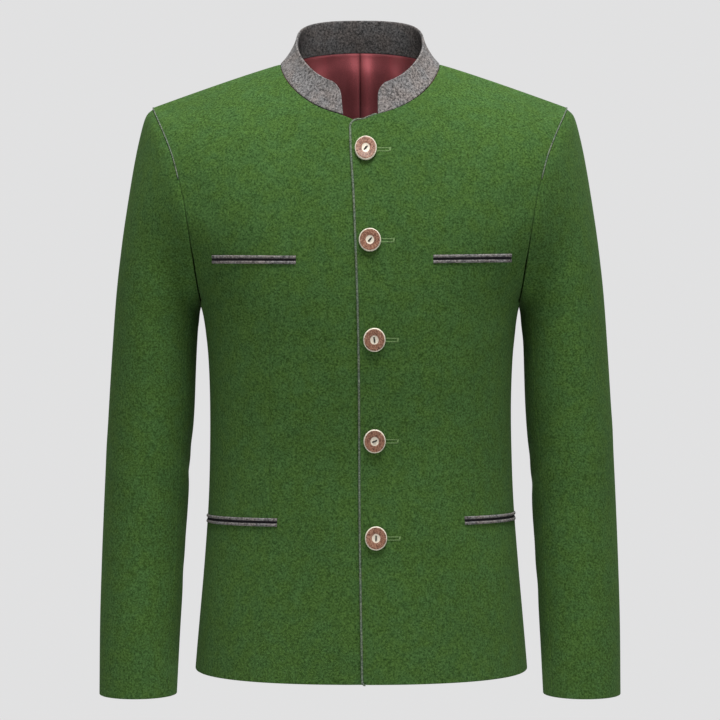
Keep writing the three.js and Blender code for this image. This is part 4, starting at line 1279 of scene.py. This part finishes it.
for spec in BUTTONS:
    centre, across, up, normal = button_frame(spec)
    spin = math.radians(spec["turn"])
    along = across * math.cos(spin) + up * math.sin(spin) * spec["tall"]
    beside = np.cross(normal, unit(along))
    points, faces = [], []
    for strand in THREAD_STRANDS:
        t = np.linspace(0, math.pi, THREAD_POINTS)
        path = (
            centre
            + np.outer(-np.cos(t) * HOLE_SPACING / 2, along)
            + np.outer(THREAD_FOOT + THREAD_ARCH * np.sin(t) ** THREAD_ROUND, normal)
            + strand * beside * (THREAD_GATHER + (1 - THREAD_GATHER) * np.sin(t))[:, None]
        )
        ahead = unit(np.gradient(path, axis=0))
        side_way = unit(np.cross(ahead, normal))
        high = np.cross(side_way, ahead)
        angles = np.arange(THREAD_SIDES) * 2 * np.pi / THREAD_SIDES
        rings = path[:, None] + THREAD_RADIUS * (
            side_way[:, None] * np.cos(angles)[:, None] + high[:, None] * np.sin(angles)[:, None]
        )
        faces += tube_faces(len(path), THREAD_SIDES, sum(len(part) for part in points))
        points.append(rings.reshape(-1, 3))
    piece = mesh_object(f"{spec['name']}_thread", np.concatenate(points), faces, dark_thread)
    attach(piece, "root")


def stitch_tree(material):
    """Geometry nodes: a small oval stitch on each point, turned by the point's own angles."""
    tree = bpy.data.node_groups.new("stitches", "GeometryNodeTree")
    tree.interface.new_socket("Geometry", in_out="INPUT", socket_type="NodeSocketGeometry")
    for name in ("Length", "Thickness"):
        tree.interface.new_socket(name, in_out="INPUT", socket_type="NodeSocketFloat")
    tree.interface.new_socket("Geometry", in_out="OUTPUT", socket_type="NodeSocketGeometry")
    source = tree.nodes.new("NodeGroupInput").outputs

    def stored(name, kind):
        node = add_node(tree, "GeometryNodeInputNamedAttribute", {"Name": name}, data_type=kind)
        return node.outputs["Attribute"]

    ball = add_node(tree, "GeometryNodeMeshUVSphere", {"Segments": 8, "Rings": 6, "Radius": 0.5})
    sides = {"X": source["Thickness"], "Y": source["Length"], "Z": source["Thickness"]}
    size = add_node(tree, "ShaderNodeCombineXYZ", sides).outputs["Vector"]
    stretch = add_node(tree, "ShaderNodeCombineXYZ", {"X": 1, "Y": stored("long", "FLOAT"), "Z": 1})
    scale = add_node(
        tree, "ShaderNodeVectorMath", {0: size, 1: stretch.outputs["Vector"]}, operation="MULTIPLY"
    )
    angles = stored("angles", "FLOAT_VECTOR")
    turned = add_node(tree, "FunctionNodeEulerToRotation", {"Euler": angles}).outputs["Rotation"]
    spots = add_node(tree, "GeometryNodeMeshToPoints", {"Mesh": source["Geometry"]})
    placed = add_node(tree, "GeometryNodeInstanceOnPoints", {
        "Points": spots.outputs["Points"],
        "Instance": ball.outputs["Mesh"],
        "Rotation": turned,
        "Scale": scale.outputs["Vector"],
    })
    made = placed.outputs["Instances"]
    for kind in ("RealizeInstances", "SetShadeSmooth", "SetMaterial"):
        finish = add_node(tree, f"GeometryNode{kind}", {"Geometry": made})
        made = finish.outputs["Geometry"]
    finish.inputs["Material"].default_value = material
    add_node(tree, "NodeGroupOutput", {"Geometry": made})
    return tree


def stitched(name, places, axes, lengths, length, thick, material):
    """Plain mesh of stitches: each has a place, three axes and a share of the full length."""
    mesh = bpy.data.meshes.new(name)
    mesh.from_pydata((np.asarray(places) * MM).tolist(), [], [])
    angles = [Matrix(np.array(a).T.tolist()).to_euler() for a in axes]
    store = mesh.attributes.new("angles", "FLOAT_VECTOR", "POINT")
    store.data.foreach_set("vector", np.array([list(a) for a in angles]).ravel())
    share = mesh.attributes.new("long", "FLOAT", "POINT")
    share.data.foreach_set("value", np.asarray(lengths, float))
    rows = add_object(f"{name}_rows", mesh)
    tree = stitch_tree(material)
    sewing = rows.modifiers.new("stitches", "NODES")
    sewing.node_group = tree
    sizes = dict(Length=length, Thickness=thick)
    for item in tree.interface.items_tree:
        if item.in_out == "INPUT" and item.name in sizes:
            sewing[item.identifier] = sizes[item.name] * MM
    made = made_plain(rows)
    made.name = name
    bpy.data.objects.remove(rows)
    return add_object(name, made)


for spec, end_x in zip(BUTTONS, BUTTONHOLE_END_X):
    run = np.arange(spec["x"] + STITCH_LEFT, end_x, STITCH_PITCH)
    bar = end_x + BAR_PLACES
    x = np.concatenate([run, run, bar])
    raised = np.concatenate([
        np.full(len(run), BUTTONHOLE_HALF - SLIT_LOW),
        np.full(len(run), -BUTTONHOLE_HALF - SLIT_LOW),
        np.full(len(bar), -BAR_LOW),
    ])
    level, turn = front_spot(x, spec["z"] + raised)
    normals = body_normal(level, turn)
    rightward = unit(np.array([1.0, 0, 0]) - normals * normals[:, :1])
    upward = np.cross(normals, rightward)
    in_bar = np.arange(len(x)) >= 2 * len(run)
    upward = unit(upward + rightward * np.where(in_bar, BAR_SLANT, 0)[:, None])
    rightward = np.cross(upward, normals)
    lift = lap_lift(1, x, float(front_edge_x(spec["z"])))
    lift = lift + np.where(in_bar, STITCH_RAISED["bar"], STITCH_RAISED["side"])
    places = body_point(level, turn) + normals * lift[:, None]
    axes = np.stack([rightward, upward, normals], axis=1)
    lengths = np.where(in_bar, BAR_LENGTH / STITCH_LENGTH, 1)
    name = f"buttonhole_{spec['name'][-1]}"
    piece = stitched(name, places, axes, lengths, STITCH_LENGTH, STITCH_THICK, light_thread)
    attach(piece, "root")

# Floor, light and camera.
# A pale floor well below the coat, broad soft lights, and the photograph's level front view.
FLOOR_Z = -1.05
FLOOR_RADIUS = 1.9
BACKDROP_GREY = (0.753, 0.753, 0.757, 1)
ROOM_LIGHT = 0.16
CAMERA_AWAY = 2.65
CAMERA_Z = -0.334
FRAME_WIDTH = 0.8136
FLOOR_SIDES = 96
angles = np.arange(FLOOR_SIDES) * 2 * np.pi / FLOOR_SIDES
rim = [(FLOOR_RADIUS * math.cos(a), FLOOR_RADIUS * math.sin(a), FLOOR_Z) for a in angles]
floor_mesh = bpy.data.meshes.new("floor")
floor_mesh.from_pydata(rim, [], [tuple(range(FLOOR_SIDES))])
pale = {"Base Color": (0.78, 0.78, 0.785, 1), "Roughness": 0.9}
floor_mesh.materials.append(new_material("pale_floor", pale)[0])
floor = add_object("floor", floor_mesh)

world = bpy.data.worlds.new("studio")
bpy.context.scene.world = world
world.use_nodes = True
tree = world.node_tree
backdrop = tree.nodes["Background"]
backdrop.inputs["Color"].default_value = BACKDROP_GREY
backdrop.inputs["Strength"].default_value = 1
room = add_node(tree, "ShaderNodeBackground", {"Color": (1, 1, 1, 1), "Strength": ROOM_LIGHT})
blend = add_node(tree, "ShaderNodeMixShader", {
    "Fac": add_node(tree, "ShaderNodeLightPath", {}).outputs["Is Camera Ray"],
    1: room.outputs["Background"],
    2: backdrop.outputs["Background"],
})
tree.links.new(blend.outputs["Shader"], tree.nodes["World Output"].inputs["Surface"])

LIGHTS = [
    dict(name="key", place=(0.2, -1.0, 2.2), power=94, size=1.4),
    dict(name="front_left", place=(1.25, -2.5, 0.0), power=5.1, size=0.8),
    dict(name="front_right", place=(-1.15, -2.5, 0.0), power=4.9, size=0.8),
    dict(name="rear", place=(0.2, 2.2, 1.4), power=26, size=1.8),
]
LIGHT_AIM = np.array([0, 0, -0.3])
for spec in LIGHTS:
    lamp = bpy.data.lights.new(spec["name"], "AREA")
    lamp.energy = spec["power"]
    lamp.size = spec["size"]
    holder = add_object(spec["name"], lamp)
    ahead = unit(LIGHT_AIM - np.array(spec["place"]))
    right = unit(np.cross(ahead, np.array([0, 0, 1.0]) + 1e-3))
    above = np.cross(right, ahead)
    turn = Matrix(np.array([right, above, -ahead]).T.tolist()).to_4x4()
    holder.matrix_world = Matrix.Translation(spec["place"]) @ turn

lens = bpy.data.cameras.new("camera")
lens.sensor_width = 36
lens.lens = lens.sensor_width * CAMERA_AWAY / FRAME_WIDTH
lens.clip_start = 0.05
lens.clip_end = 50
camera = add_object("camera", lens)
camera.location = (0, -CAMERA_AWAY, CAMERA_Z)
camera.rotation_euler = (math.pi / 2, 0, 0)
bpy.context.scene.camera = camera
bpy.context.scene.view_settings.view_transform = "Standard"
